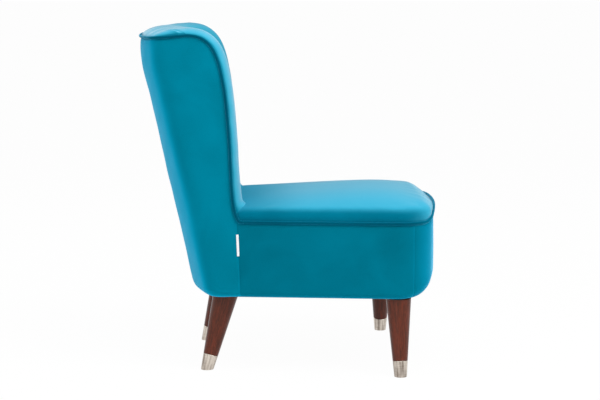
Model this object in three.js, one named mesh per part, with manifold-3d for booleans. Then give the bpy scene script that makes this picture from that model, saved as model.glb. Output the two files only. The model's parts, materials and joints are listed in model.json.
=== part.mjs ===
// Slipper chair: an armless upholstered chair with a crowned seat, a raked back that rolls
// forward into shallow wings, cord piping, and four splayed tapered legs with metal ferrules.
//
// Millimetres. +Z is up, the chair faces -Y, and the sitter's right is -X. The origin is on the
// floor, under the middle of the chair. A plan outline is drawn once for each end of the chair and
// every cover, rail and pad takes its place from it.

import * as THREE from 'three';
import { mergeVertices } from 'three/addons/utils/BufferGeometryUtils.js';
import Module from 'manifold-3d';

const wasm = await Module();
wasm.setup();

// Driving dimensions: stance and plan

const legHeight = 190;            // floor to the underside of the chair
const seatEdgeHeight = 381;       // floor to the seat piping
const backRise = 457;             // seat piping to the piping on top of the back
const middleHalfWidth = 244;      // half the width across the sides, at the origin
const sideFlareRatio = 0.125;     // the sides spread by this much per unit of depth, to the front
const seatFrontY = -372;          // crest of the bowed front
const frontCornerRadius = 90;
const frontBowRadius = 1000;
const frontArch = 26;             // the front edge of the seat rises by this much in the middle
const frontArchPower = 3;         // fullness of that arch: the higher, the flatter its middle
const backSeatY = 285.4;          // rear crest of the back, level with the seat piping
const backRakeRatio = 0.2185;     // the back leans by this much per unit of height
const shoulderHeight = 85;        // the back draws in over this height below its rim
const shoulderDepth = 13;
const backCornerRadius = 45;
const backBowRadius = 560;

// Driving dimensions: covers, pads and piping

const coverThickness = 3;         // velvet with its wadding
const clearance = 0.3;            // between pieces that touch
const sideTuckRadius = 15;        // where the side panels turn under
const frontTuckRadius = 56;       // where the front band turns under
const backTuckRadius = 12;        // where the outside back turns under
const turnUnder = 10;             // cover stapled flat under the rails
const pipingRadius = 3.5;
const pipingInset = 1.5;          // piping centre line, in from the outline
const channelMargin = 4.5;        // the foam stays this far from the piping
const seatEdgeRise = 31;          // upright edge of the cushion above its piping
const seatEdgePower = 0.5;        // the lower, the squarer that edge
const seatFrontPower = 1;         // the same in the middle of the front
const seatDome = 29;              // further rise to the top of the cushion's crown
const seatCrownY = -205;          // the crown's highest point
const seatCrownPower = 2.7;       // fullness of the crown: the higher, the flatter its top
const seatFallPower = 1.5;        // the same for its long fall to the rear
const seatArchPower = 12;         // the front's arch dies out behind the piping: the higher, the sooner
const seatEdgeShare = 0.86;       // the upright edge takes the rest of the half width
const seatSideEndY = 120;         // where the cushion's straight sides end
const seatCrownRear = 230;        // where the crown would fade out, under the back
const seatBackY = 196;            // rear crest of the cushion, under the back
const seatBackCornerRadius = 26;
const seatBackBowRadius = 470;
const rimPadding = 21.5;          // padding in front of the wing's piping
const crestPadding = 16;          // padding above the rim's piping
const crestPower = 0.75;          // the lower, the fuller the crest stays to the rear
const rollShare = 0.3;            // share of the half width that the padded roll takes
const backHollow = 52;            // how far the middle of the back lies behind the wings
const spreadPadding = 7;          // extra fullness as each wing spreads towards the seat
const spreadReach = 70;
const lobePadding = 6.5;          // further fullness in the fold where it meets the seat
const lobeReach = 11;
const lobeHeight = 31;            // fullest point above the seat piping; the pad rounds under it
const padDepth = 22;              // foam behind the piping line of the back
const rimFallRatio = 0.08;        // fall of the rim to the rear, per unit of depth
const wingFrontY = 126;           // foot of the wing's piping line
const wingDepth = 234;            // from there to the rear end of the rim, in side view
const seamFootY = 127;            // side seam, at the underside
const seamHeadY = 134;            // side seam, under the piping
const bandSeamY = -301;           // upright seam behind each front corner

// Driving dimensions: frame

const railThickness = 22;
const railDrop = 40;              // seat piping down to the top of the rails
const frontJointY = -300;         // joint between the front rail and the side rails
const backJointY = 150;           // joint between the side rails and the rear rail
const formerThickness = 18;
const formerLift = 3;             // rails' top up to the side formers
const linerThickness = 2.5;
const linerMargin = 84;           // liner's edge, in from the middle half width
const postWidth = 38;             // stands between two springs
const postThickness = 26;
const postStandoff = 25;          // from the outline to the rear face of the posts
const backRailThickness = 20;
const backRailDepth = 46;
const lowerRailRise = 43;         // seat piping up to each rail's underside
const middleRailRise = 219;
const topRailDrop = 52;           // rim down to the top rail's underside
const blockHeight = 42;
const frontBlock = { reach: 83.8, y: -222 };
const backBlock = { reach: 142, y: 112 };
const webbingWidth = 50;
const webbingThickness = 1.5;
const webbingSpacing = 84;
const webbingFootLift = 2;        // lower rail's underside up to the straps' feet
const webbingHeadLift = 10;       // top rail's underside up to the straps' heads
const deckThickness = 1.2;
const dustCoverThickness = 1.2;
const dustCoverMargin = 6;

// Driving dimensions: springs and clips

const springCount = 4;
const springSpacing = 88;
const springWireRadius = 1.9;
const springLoopWidth = 42;
const springBars = 13;
const springArch = 1.5;
const springEndInset = 15;        // outermost bar, in from the outline
const clipWidth = 12;
const clipReach = 5;              // clip's base beyond its curl
const clipThickness = 1.2;

// Driving dimensions: legs and fasteners

const legTopRadius = 31.5;
const legFootRadius = 15.5;
const ferruleHeight = 38;
const ferruleWall = 1.2;
const ferruleFloor = 6;
const frontLeg = { sideInset: 43.2, splay: 41, topY: -265.5, footY: -268 };
const backLeg = { sideInset: 71.8, splay: 20, topY: 161.5, footY: 209.5 };
const boltRadius = 4;
const boltInLeg = 42;
const boltAboveLeg = 46;
const teeBarrelRadius = 5.6;
const teeBarrelLength = 10;
const teeFlangeRadius = 11;
const teeFlangeThickness = 1.6;
const teeSeat = 34;               // from the leg's top to the underside of the tee nut's flange

// Driving dimensions: the blank tag in the right side seam

const tagLength = 57;
const tagWidth = 7;
const tagThickness = 0.8;
const tagTopDrop = 31;            // below the seat piping

// Resolution

const sideSteps = 2;
const cornerSteps = 5;
const bowSteps = 6;
const tuckSteps = 4;
const shoulderSteps = 3;
const legSides = 20;
const boltSides = 10;
const cordSegments = 4;
const channelSegments = 3;
const backPipingSteps = 56;
const seatPipingSteps = 46;
const backChannelSteps = 28;
const seatChannelSteps = 23;
const springSteps = 40;
const springSegments = 2;
const tagSegments = 5;
const sideRows = 12;              // rows up the wing
const cushionBackRows = 8;        // rows of the inside back that meet the cushion
const overrun = 60;               // how far a cutting solid runs past what it cuts
const cutterReach = 480;          // how deep a cutting solid is

// Materials

function material(color, roughness, metalness = 0) {
  return new THREE.MeshStandardMaterial({ color, roughness, metalness });
}

const velvet = material(0x04809a, 0.85);
const velvetCord = material(0x045a6e, 0.9);
const stainedWood = material(0x5e3128, 0.42);
const frameWood = material(0xc9a877, 0.75);
const plywood = material(0xb99868, 0.8);
const card = material(0x8c7a5c, 0.9);
const foam = material(0xe9dfa8, 0.95);
const cloth = material(0x2a2a2c, 0.95);
const webbingCloth = material(0x3b3a36, 0.9);
const tagCloth = material(0xe8e8ea, 0.8);
const nickel = material(0xb9afa4, 0.35, 1);
const steel = material(0x8f9296, 0.4, 1);

// Solids

function toSolid(geometry) {
  const bare = geometry.clone();
  bare.deleteAttribute('normal');
  bare.deleteAttribute('uv');
  const merged = mergeVertices(bare);
  return new wasm.Manifold(new wasm.Mesh({
    numProp: 3,
    vertProperties: new Float32Array(merged.attributes.position.array),
    triVerts: new Uint32Array(merged.index.array)
  }));
}

function toGeometry(solid) {
  const mesh = solid.getMesh();
  const geometry = new THREE.BufferGeometry();
  geometry.setAttribute('position', new THREE.BufferAttribute(new Float32Array(mesh.vertProperties), 3));
  geometry.setIndex(new THREE.BufferAttribute(new Uint32Array(mesh.triVerts), 1));
  return geometry;
}

const chair = new THREE.Group();

// Adds a solid to the chair, without the crumbs that a cut may have left loose beside it.
function addSolid(name, solid, partMaterial) {
  const bodies = solid.decompose().sort((a, b) => b.volume() - a.volume());
  const geometry = toGeometry(bodies[0]);
  geometry.computeVertexNormals();
  const mesh = new THREE.Mesh(geometry, partMaterial);
  mesh.name = name;
  chair.add(mesh);
}

// Joins points and triangles into a closed geometry whose faces point outward.
function closedGeometry(points, triangles) {
  let volume = 0;
  const cross = new THREE.Vector3();
  for (const [a, b, c] of triangles) {
    volume += points[a].dot(cross.crossVectors(points[b], points[c]));
  }
  const index = [];
  for (const [a, b, c] of triangles) {
    if (volume > 0) index.push(a, b, c);
    else index.push(a, c, b);
  }
  const geometry = new THREE.BufferGeometry().setFromPoints(points);
  geometry.setIndex(index);
  return geometry;
}

// Closes two matching grids of points, one behind the other, into one solid.
function sheet(front, back) {
  const rows = front.length;
  const columns = front[0].length;
  const points = [...front.flat(), ...back.flat()];
  const at = (side, row, column) => (side * rows + row) * columns + column;
  const triangles = [];
  const quad = (a, b, c, d) => triangles.push([a, b, c], [a, c, d]);
  for (let row = 0; row < rows - 1; row++) {
    for (let column = 0; column < columns - 1; column++) {
      quad(at(0, row, column), at(0, row, column + 1), at(0, row + 1, column + 1), at(0, row + 1, column));
      quad(at(1, row, column), at(1, row + 1, column), at(1, row + 1, column + 1), at(1, row, column + 1));
    }
  }
  for (let row = 0; row < rows - 1; row++) {
    const end = columns - 1;
    quad(at(0, row, 0), at(0, row + 1, 0), at(1, row + 1, 0), at(1, row, 0));
    quad(at(0, row, end), at(1, row, end), at(1, row + 1, end), at(0, row + 1, end));
  }
  for (let column = 0; column < columns - 1; column++) {
    const end = rows - 1;
    quad(at(0, 0, column), at(1, 0, column), at(1, 0, column + 1), at(0, 0, column + 1));
    quad(at(0, end, column), at(0, end, column + 1), at(1, end, column + 1), at(1, end, column));
  }
  return toSolid(closedGeometry(points, triangles));
}

// Moves every point of a grid along the surface's normal, away from a point inside the body.
function offsetGrid(grid, distance, inside) {
  const rows = grid.length;
  const columns = grid[0].length;
  const across = new THREE.Vector3();
  const along = new THREE.Vector3();
  const outward = new THREE.Vector3();
  return grid.map((line, row) => line.map((point, column) => {
    across.subVectors(grid[row][Math.min(column + 1, columns - 1)], grid[row][Math.max(column - 1, 0)]);
    along.subVectors(grid[Math.min(row + 1, rows - 1)][column], grid[Math.max(row - 1, 0)][column]);
    const normal = new THREE.Vector3().crossVectors(across, along).normalize();
    if (normal.dot(outward.subVectors(point, inside)) < 0) normal.negate();
    return point.clone().addScaledVector(normal, distance);
  }));
}

// Skins a stack of rings that have the same count of points, and closes both ends with a fan.
function ringStack(rings) {
  const count = rings[0].length;
  const points = rings.flat();
  const triangles = [];
  for (let ring = 0; ring < rings.length - 1; ring++) {
    for (let step = 0; step < count; step++) {
      const a = ring * count + step;
      const b = ring * count + (step + 1) % count;
      triangles.push([a, b, b + count], [a, b + count, a + count]);
    }
  }
  for (const ring of [0, rings.length - 1]) {
    const centre = new THREE.Vector3();
    for (const point of rings[ring]) centre.add(point);
    centre.divideScalar(count);
    const hub = points.push(centre) - 1;
    for (let step = 0; step < count; step++) {
      const a = ring * count + step;
      const b = ring * count + (step + 1) % count;
      if (ring === 0) triangles.push([hub, b, a]);
      else triangles.push([hub, a, b]);
    }
  }
  return toSolid(closedGeometry(points, triangles));
}

// A box given by its low and high corners.
function box(low, high) {
  const size = high.map((value, axis) => value - low[axis]);
  const geometry = new THREE.BoxGeometry(...size);
  geometry.translate(...low.map((value, axis) => value + size[axis] / 2));
  return toSolid(geometry);
}

// A profile drawn in side view, as [y, z] points, carried across the chair between two depths of x.
function sideProfile(points, lowX, highX) {
  const shape = new THREE.Shape(points.map(([y, z]) => new THREE.Vector2(y, z)));
  const geometry = new THREE.ExtrudeGeometry(shape, { depth: highX - lowX, bevelEnabled: false });
  const turn = new THREE.Matrix4().makeBasis(
    new THREE.Vector3(0, 1, 0),
    new THREE.Vector3(0, 0, 1),
    new THREE.Vector3(1, 0, 0)
  );
  geometry.applyMatrix4(turn);
  geometry.translate(lowX, 0, 0);
  return toSolid(geometry);
}

// A round cord along a list of points.
function cord(points, radius, steps, curveSegments) {
  const section = new THREE.Shape();
  section.absarc(0, 0, radius, 0, 2 * Math.PI);
  return toSolid(new THREE.ExtrudeGeometry(section, {
    steps,
    extrudePath: new THREE.CatmullRomCurve3(points, false, 'centripetal'),
    curveSegments
  }));
}

function mirrored(solid) {
  return solid.mirror([1, 0, 0]);
}

// Plan outlines

// Half the width across the straight sides at depth y.
function sideHalfWidth(y) {
  return middleHalfWidth - sideFlareRatio * y;
}

// One end of the plan, from the straight left side round both corners to the straight right
// side. direction is 1 for the rear end and -1 for the front. Each point carries its outward
// normal, and lies `inset` inside the outline.
function endOutline({ endY, startY, cornerRadius, bowRadius, direction }, inset = 0) {
  const flare = sideFlareRatio * direction;
  const slope = Math.hypot(1, flare);
  const bowCentre = direction * endY - bowRadius;
  const reach = bowRadius - cornerRadius;
  const shift = cornerRadius * slope - middleHalfWidth;
  const half = shift * flare - bowCentre;
  const root = half ** 2 - slope ** 2 * (shift ** 2 + bowCentre ** 2 - reach ** 2);
  const cornerDepth = (Math.sqrt(root) - half) / slope ** 2;
  const cornerX = shift + flare * cornerDepth;
  const sideAngle = Math.PI - Math.atan(flare);
  const bowAngle = Math.atan2(cornerDepth - bowCentre, cornerX);
  const left = [];
  const place = (x, depth, angle) => {
    const nx = Math.cos(angle);
    const ny = Math.sin(angle) * direction;
    left.push({ x: x - nx * inset, y: depth * direction - ny * inset, nx, ny });
  };
  const tangentDepth = cornerDepth + cornerRadius * Math.sin(sideAngle);
  for (let step = 0; step < sideSteps; step++) {
    const depth = THREE.MathUtils.lerp(direction * startY, tangentDepth, step / sideSteps);
    place(flare * depth - middleHalfWidth, depth, sideAngle);
  }
  for (let step = 0; step < cornerSteps; step++) {
    const angle = THREE.MathUtils.lerp(sideAngle, bowAngle, step / cornerSteps);
    place(cornerX + cornerRadius * Math.cos(angle), cornerDepth + cornerRadius * Math.sin(angle), angle);
  }
  const halfBow = bowSteps / 2;
  for (let step = 0; step <= halfBow; step++) {
    const angle = THREE.MathUtils.lerp(bowAngle, Math.PI / 2, step / halfBow);
    place(bowRadius * Math.cos(angle), bowCentre + bowRadius * Math.sin(angle), angle);
  }
  const right = left.slice(0, -1).reverse().map((p) => ({ ...p, x: -p.x, nx: -p.nx }));
  return [...left, ...right];
}

// How far the back stands behind its place at the seat: a rake that draws in under the rim.
function backLean(z) {
  const drawnIn = THREE.MathUtils.clamp(1 + (z - wingTopZ) / shoulderHeight, 0, 1);
  return (z - seatEdgeHeight) * backRakeRatio - shoulderDepth * drawnIn ** 2;
}

// The rear end of the chair at height z.
function backOutline(z, startY, inset = 0) {
  return endOutline({
    endY: backSeatY + backLean(z),
    startY,
    cornerRadius: backCornerRadius,
    bowRadius: backBowRadius,
    direction: 1
  }, inset);
}

// The front end of the seat.
function frontOutline(startY, inset = 0) {
  return endOutline({
    endY: seatFrontY,
    startY,
    cornerRadius: frontCornerRadius,
    bowRadius: frontBowRadius,
    direction: -1
  }, inset);
}

// The whole plan at height z as one closed ring.
function planRing(z, inset = 0) {
  return [...frontOutline(0, inset).slice(1, -1), ...backOutline(z, 0, inset).reverse()];
}

// Depth of the outline at a distance x from the middle.
function outlineDepth(outline, x) {
  const next = outline.findIndex((p) => p.x > x);
  const low = outline[next - 1];
  const high = outline[next];
  return THREE.MathUtils.mapLinear(x, low.x, high.x, low.y, high.y);
}

// How fully the front is arched at a point of the outline: 1 in the middle, 0 at the sides.
function archShare(point) {
  const frontness = THREE.MathUtils.smoothstep(-point.ny, 0, 1);
  const aside = Math.abs(point.x) / middleHalfWidth;
  return frontness * Math.max(0, 1 - aside ** frontArchPower);
}

// Height of the seat piping at a point of the outline.
function seatLip(point) {
  return seatEdgeHeight + frontArch * archShare(point);
}

// Radius with which the cover turns under the chair at a point of the outline.
function tuckRadius(point) {
  if (point.ny < 0) return THREE.MathUtils.lerp(sideTuckRadius, frontTuckRadius, point.ny ** 2);
  const facing = THREE.MathUtils.smoothstep(point.ny, sideFlareRatio, 1);
  return THREE.MathUtils.lerp(sideTuckRadius, backTuckRadius, facing);
}

// Body solids, from which covers and frame pieces are cut

const wingTopZ = seatEdgeHeight + backRise;
const railTop = seatEdgeHeight - railDrop;
const panelBottom = legHeight + dustCoverThickness + clearance;
const bodyTop = wingTopZ + overrun;
const farOut = bodyTop + cutterReach;
const shoulderRings = Array.from({ length: shoulderSteps + 1 }, (_, step) => (
  wingTopZ - shoulderHeight * (1 - step / shoulderSteps)
));

// A ring of the body at heights that may differ from point to point.
function bodyRing(inset, heightAt, insetAt) {
  return planRing(panelBottom).map((plain, step) => {
    const z = heightAt(plain);
    const p = planRing(z, inset + insetAt(plain))[step];
    return new THREE.Vector3(p.x, p.y, z);
  });
}

// The chair's body, with its turned-under edge, drawn in by an inset.
function bodySolid(inset) {
  const rings = [];
  for (let step = 0; step <= tuckSteps; step++) {
    const angle = step / tuckSteps * Math.PI / 2;
    rings.push(bodyRing(
      inset,
      (p) => panelBottom + inset + (tuckRadius(p) - inset) * (1 - Math.cos(angle)),
      (p) => (tuckRadius(p) - inset) * (1 - Math.sin(angle))
    ));
  }
  for (const z of [...shoulderRings, bodyTop]) rings.push(bodyRing(inset, () => z, () => 0));
  return ringStack(rings);
}

// The same body without the turned-under edge, running past it below.
function bodyPrism(insetAt) {
  const heights = [panelBottom - overrun, ...shoulderRings, bodyTop];
  return ringStack(heights.map((z) => bodyRing(0, () => z, insetAt)));
}

const body = bodySolid(0);
const coverInside = bodySolid(coverThickness);
const frameBody = bodySolid(coverThickness + clearance);
const skinOpening = bodyPrism((p) => tuckRadius(p) + turnUnder);
const skin = body.subtract(coverInside).subtract(skinOpening);

// Wing outline: the piping line of one side, in the chair's side view

const wingShares = [
  [0, 0], [0.045, 0.035], [0.075, 0.112], [0.092, 0.24], [0.108, 0.43], [0.144, 0.655],
  [0.18, 0.775], [0.225, 0.872], [0.3, 0.948], [0.41, 0.99], [0.538, 1]
];
const wingCurve = new THREE.SplineCurve(wingShares.map(([depthShare, heightShare]) => new THREE.Vector2(
  wingFrontY + wingDepth * depthShare,
  seatEdgeHeight + backRise * heightShare
)));

// Places up the wing: close together at its foot, where it folds, and then even.
const wingFootShares = [0, 0.058, 0.115];
const wingPlaces = Array.from({ length: sideRows + 1 }, (_, row) => row / sideRows).slice(2);

// Points up the wing with the normal that faces forward and up.
const wingLine = [...wingFootShares, ...wingPlaces].map((place) => {
  const point = wingCurve.getPointAt(place);
  const tangent = wingCurve.getTangentAt(place);
  return { y: point.x, z: point.y, ny: -tangent.y, nz: tangent.x };
});
const wingTopY = wingLine.at(-1).y;

function rimHeight(y) {
  return wingTopZ - rimFallRatio * (y - wingTopY);
}

// The rear outline laid on the falling rim line, from the left wing round to the right one.
function rimOutline(inset = 0) {
  return backOutline(wingTopZ, wingTopY).map((top, step) => {
    let z = rimHeight(top.y);
    const p = backOutline(z, wingTopY, inset)[step];
    z = rimHeight(p.y);
    return new THREE.Vector3(p.x, p.y, z);
  });
}

const rim = rimOutline();

// A point on the rim, at a share of the way from left (0) to right (1).
function rimPoint(share) {
  const curve = new THREE.CurvePath();
  for (let step = 0; step < rim.length - 1; step++) {
    curve.add(new THREE.LineCurve3(rim[step], rim[step + 1]));
  }
  return curve.getPointAt(THREE.MathUtils.clamp(share, 0, 1));
}

// Everything behind the side seam and the wing's piping, and below the rim, in side view.
const rimEndY = backSeatY + backRise;
const backRegionPoints = [
  [seamFootY, panelBottom - overrun],
  [seamHeadY, seatEdgeHeight - pipingRadius],
  ...wingLine.map((p) => [p.y, p.z]),
  [rimEndY, rimHeight(rimEndY)],
  [rimEndY, panelBottom - overrun]
];
const backRegion = sideProfile(backRegionPoints, -farOut, farOut);

// Piping

function pipingPoint(x, y, z, nx, ny) {
  return new THREE.Vector3(x - nx * pipingInset, y - ny * pipingInset, z);
}

function backPipingPoints() {
  const slope = Math.hypot(1, sideFlareRatio);
  const wing = wingLine.slice(0, -1).map((p) => pipingPoint(
    -sideHalfWidth(p.y), p.y, p.z, -1 / slope, sideFlareRatio / slope
  ));
  const right = wing.map((p) => new THREE.Vector3(-p.x, p.y, p.z)).reverse();
  return [...wing, ...rimOutline(pipingInset), ...right];
}

function seatPipingPoints() {
  return frontOutline(wingFrontY).map((p) => pipingPoint(p.x, p.y, seatLip(p), p.nx, p.ny));
}

const backPiping = cord(backPipingPoints(), pipingRadius, backPipingSteps, cordSegments);
const seatPiping = cord(seatPipingPoints(), pipingRadius, seatPipingSteps, cordSegments);
const grooveRadius = pipingRadius + clearance;
const backGroove = cord(backPipingPoints(), grooveRadius, backPipingSteps, cordSegments);
const seatGroove = cord(seatPipingPoints(), grooveRadius, seatPipingSteps, cordSegments);
const grooves = backGroove.add(seatGroove);

// A wider, plainer channel keeps the foam off both cords.
const channelRadius = pipingRadius + channelMargin;
const channel = cord(backPipingPoints(), channelRadius, backChannelSteps, channelSegments)
  .add(cord(seatPipingPoints(), channelRadius, seatChannelSteps, channelSegments))
  .add(backGroove);

addSolid('back_piping', backPiping, velvetCord);
addSolid('seat_piping', seatPiping.subtract(backGroove), velvetCord);

// Legs, ferrules and their fasteners

// The axis of a leg, from the middle of its foot, with its length up to the chair's underside.
// Its top is set in from the side, and its foot splays out again.
function legPlacement({ sideInset, splay, topY, footY }, side) {
  const topX = sideHalfWidth(topY) - sideInset;
  const foot = new THREE.Vector3(side * (topX + splay), footY, 0);
  const top = new THREE.Vector3(side * topX, topY, legHeight);
  const axis = new THREE.Vector3().subVectors(top, foot);
  const up = new THREE.Vector3(0, 0, 1);
  const turn = new THREE.Quaternion().setFromUnitVectors(up, axis.clone().normalize());
  const matrix = new THREE.Matrix4().compose(foot, turn, new THREE.Vector3(1, 1, 1));
  return { matrix, length: axis.length() };
}

// A turned solid along a leg's axis, from [radius, height] points.
function turned(points, matrix, sides = boltSides) {
  const geometry = new THREE.LatheGeometry(points.map(([r, z]) => new THREE.Vector2(r, z)), sides);
  geometry.rotateX(Math.PI / 2);
  geometry.applyMatrix4(matrix);
  return toSolid(geometry);
}

function cylinder(radius, low, high, matrix) {
  return turned([[0, low], [radius, low], [radius, high], [0, high]], matrix);
}

const legPositions = [
  { name: 'front_right', leg: frontLeg, side: -1 },
  { name: 'front_left', leg: frontLeg, side: 1 },
  { name: 'rear_right', leg: backLeg, side: -1 },
  { name: 'rear_left', leg: backLeg, side: 1 }
];
const standingSpace = box([-farOut, -farOut, 0], [farOut, farOut, legHeight - clearance]);
const boltHoles = [];

for (const { name, leg, side } of legPositions) {
  const { matrix, length } = legPlacement(leg, side);
  const radiusAt = (z) => THREE.MathUtils.mapLinear(z, 0, length, legFootRadius, legTopRadius);
  const past = length + overrun;
  const tenonInset = ferruleWall + clearance;
  const shoulder = ferruleHeight + clearance;
  const boltFoot = length - boltInLeg;
  const boltHead = length + boltAboveLeg;
  const flangeLow = length + teeSeat;
  const flangeHigh = flangeLow + teeFlangeThickness;
  const hole = cylinder(boltRadius + clearance, boltFoot - clearance, boltHead + overrun, matrix);
  boltHoles.push(hole);

  const legTurning = turned([
    [0, ferruleFloor + clearance],
    [radiusAt(ferruleFloor) - tenonInset, ferruleFloor + clearance],
    [radiusAt(shoulder) - tenonInset, shoulder],
    [radiusAt(shoulder), shoulder],
    [radiusAt(past), past],
    [0, past]
  ], matrix, legSides);
  addSolid(`leg_${name}`, legTurning.intersect(standingSpace).subtract(hole), stainedWood);

  const ferrule = turned([
    [0, -ferruleFloor],
    [radiusAt(-ferruleFloor), -ferruleFloor],
    [radiusAt(ferruleHeight), ferruleHeight],
    [radiusAt(ferruleHeight) - ferruleWall, ferruleHeight],
    [radiusAt(ferruleFloor) - ferruleWall, ferruleFloor],
    [0, ferruleFloor]
  ], matrix, legSides);
  addSolid(`ferrule_${name}`, ferrule.intersect(standingSpace), nickel);

  addSolid(`hanger_bolt_${name}`, cylinder(boltRadius, boltFoot, boltHead, matrix), steel);

  const nut = turned([
    [boltRadius + clearance, flangeLow - teeBarrelLength],
    [teeBarrelRadius, flangeLow - teeBarrelLength],
    [teeBarrelRadius, flangeLow],
    [teeFlangeRadius, flangeLow],
    [teeFlangeRadius, flangeHigh],
    [boltRadius + clearance, flangeHigh],
    [boltRadius + clearance, flangeLow - teeBarrelLength]
  ], matrix);
  addSolid(`tee_nut_${name}`, nut, steel);

  const nutSeat = turned([
    [0, flangeLow - teeBarrelLength - clearance],
    [teeBarrelRadius + clearance, flangeLow - teeBarrelLength - clearance],
    [teeBarrelRadius + clearance, flangeLow - clearance],
    [teeFlangeRadius + clearance, flangeLow - clearance],
    [teeFlangeRadius + clearance, past],
    [0, past]
  ], matrix);
  const corner = leg === frontLeg ? frontBlock : backBlock;
  const away = Math.sign(corner.y) * farOut;
  const cornerX = sideHalfWidth(corner.y) - corner.reach;
  const lowX = Math.min(side * cornerX, side * farOut);
  const highX = Math.max(side * cornerX, side * farOut);
  const blockFoot = panelBottom + coverThickness + clearance;
  const blank = box(
    [lowX, Math.min(corner.y, away), blockFoot],
    [highX, Math.max(corner.y, away), blockFoot + blockHeight]
  );
  const cornerSpace = bodyPrism(() => coverThickness + railThickness + clearance * 2);
  addSolid(
    `corner_block_${name}`,
    blank.intersect(cornerSpace).intersect(frameBody).subtract(hole).subtract(nutSeat),
    frameWood
  );
}

const legHoles = boltHoles.reduce((all, hole) => all.add(hole));

// Seat frame

const railInside = bodyPrism(() => coverThickness + railThickness + clearance);
const railRing = frameBody
  .intersect(box([-farOut, -farOut, 0], [farOut, farOut, railTop]))
  .subtract(railInside);

function spanY(lowY, highY) {
  return box([-farOut, lowY, -farOut], [farOut, highY, farOut]);
}

addSolid('front_rail', railRing.intersect(spanY(-farOut, frontJointY)), frameWood);
addSolid('rear_rail', railRing.intersect(spanY(backJointY, farOut)), frameWood);
const sideRails = railRing.intersect(spanY(frontJointY + clearance, backJointY - clearance));
const rightHalf = box([-farOut, -farOut, -farOut], [0, farOut, farOut]);
const sideRailRight = sideRails.intersect(rightHalf);
addSolid('side_rail_right', sideRailRight, frameWood);
addSolid('side_rail_left', mirrored(sideRailRight), frameWood);

// Seat springs and clips

const wireHeight = railTop + clearance * 2 + clipThickness + springWireRadius;
const clipTop = wireHeight + springWireRadius + clearance + clipThickness;
const springFirst = -(springCount - 1) / 2 * springSpacing;
const railTopFront = frontOutline(0, springEndInset);
const railTopBack = backOutline(railTop, 0, springEndInset);

// A zigzag of bars across, joined by turns at alternate ends, from the front rail to the rear.
function springPoints(x, frontY, backY) {
  const points = [];
  const pitch = (backY - frontY) / (springBars - 1);
  for (let bar = 0; bar < springBars; bar++) {
    const side = bar % 2 ? 1 : -1;
    const y = frontY + bar * pitch;
    const share = bar / (springBars - 1);
    const z = wireHeight + springArch * Math.sin(Math.PI * share);
    const bend = springLoopWidth / 2 - pitch / 4;
    points.push(new THREE.Vector3(x - side * bend, y, z));
    points.push(new THREE.Vector3(x + side * bend, y, z));
    if (bar < springBars - 1) {
      points.push(new THREE.Vector3(x + side * springLoopWidth / 2, y + pitch / 2, z));
    }
  }
  return points;
}

// A steel clip: flat base on the rail, curled up and over the spring's end bar.
function springClip(x, y, direction) {
  const inner = springWireRadius + clearance;
  const outer = inner + clipThickness;
  const base = wireHeight - outer;
  const profile = [
    [-clipReach - outer, base], [outer, base], [outer, clipTop], [-inner, clipTop],
    [-inner, clipTop - clipThickness], [inner, clipTop - clipThickness],
    [inner, base + clipThickness], [-clipReach - outer, base + clipThickness]
  ].map(([along, z]) => [y + direction * along, z]);
  return sideProfile(profile, x - clipWidth / 2, x + clipWidth / 2);
}

for (let count = 0; count < springCount; count++) {
  const x = springFirst + count * springSpacing;
  const frontY = outlineDepth(railTopFront, x);
  const backY = outlineDepth(railTopBack, x);
  const number = count + 1;
  const spring = cord(springPoints(x, frontY, backY), springWireRadius, springSteps, springSegments);
  addSolid(`seat_spring_${number}`, spring, steel);
  addSolid(`spring_clip_front_${number}`, springClip(x, frontY, -1), steel);
  addSolid(`spring_clip_rear_${number}`, springClip(x, backY, 1), steel);
}

// Inside back

const rollSteps = 4;
const hollowSteps = 8;
const topShares = [0.32, 0.6, 0.82, 0.95, 1];

// Columns across the back as shares of the half width, close together on the padded rolls.
function backColumns() {
  const columns = [];
  for (let step = 0; step < rollSteps; step++) {
    const angle = step / rollSteps * Math.PI / 2;
    columns.push(-(1 - rollShare + rollShare * Math.cos(angle)));
  }
  for (let step = 0; step <= hollowSteps; step++) {
    columns.push(THREE.MathUtils.lerp(-1, 1, step / hollowSteps) * (1 - rollShare));
  }
  return [...columns, ...columns.slice(0, rollSteps).reverse().map((share) => -share)];
}

function rollProfile(share) {
  const edge = Math.max(0, (Math.abs(share) - (1 - rollShare)) / rollShare);
  return Math.sqrt(Math.max(0, 1 - edge ** 2));
}

function hollowProfile(share) {
  const inner = Math.min(1, Math.abs(share) / (1 - rollShare));
  return (1 + Math.cos(Math.PI * inner)) / 2;
}

const columns = backColumns();

// The inside back as a grid of points: rows climb the front, then run back over the top.
function insideBackGrid() {
  const front = wingLine.map((side) => {
    const rise = side.z - seatEdgeHeight;
    const spread = spreadPadding * Math.exp(-(((rise - lobeHeight) / spreadReach) ** 2));
    const lobe = lobePadding * Math.exp(-(((rise - lobeHeight) / lobeReach) ** 2));
    const under = Math.max(0, 1 - rise / lobeHeight);
    const padding = THREE.MathUtils.lerp(rimPadding, crestPadding, Math.max(0, side.nz) ** 2);
    const fullness = (padding + spread + lobe) * Math.sqrt(Math.max(0, 1 - under ** 2));
    return columns.map((share) => {
      const roll = fullness * rollProfile(share);
      return new THREE.Vector3(
        share * sideHalfWidth(side.y),
        side.y + side.ny * roll + backHollow * hollowProfile(share),
        side.z + side.nz * roll
      );
    });
  });
  const top = topShares.map((topShare) => {
    const fade = Math.max(0, (topShare - topShares[0]) / (1 - topShares[0]));
    const crest = crestPadding * Math.max(0, 1 - fade ** 2) ** crestPower;
    return columns.map((share) => {
      const start = new THREE.Vector3(
        share * sideHalfWidth(wingTopY),
        wingTopY + backHollow * hollowProfile(share),
        wingTopZ
      );
      const point = start.lerp(rimPoint((share + 1) / 2), topShare);
      point.z += crest * rollProfile(share);
      return point;
    });
  });
  return [...front, ...top];
}

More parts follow.
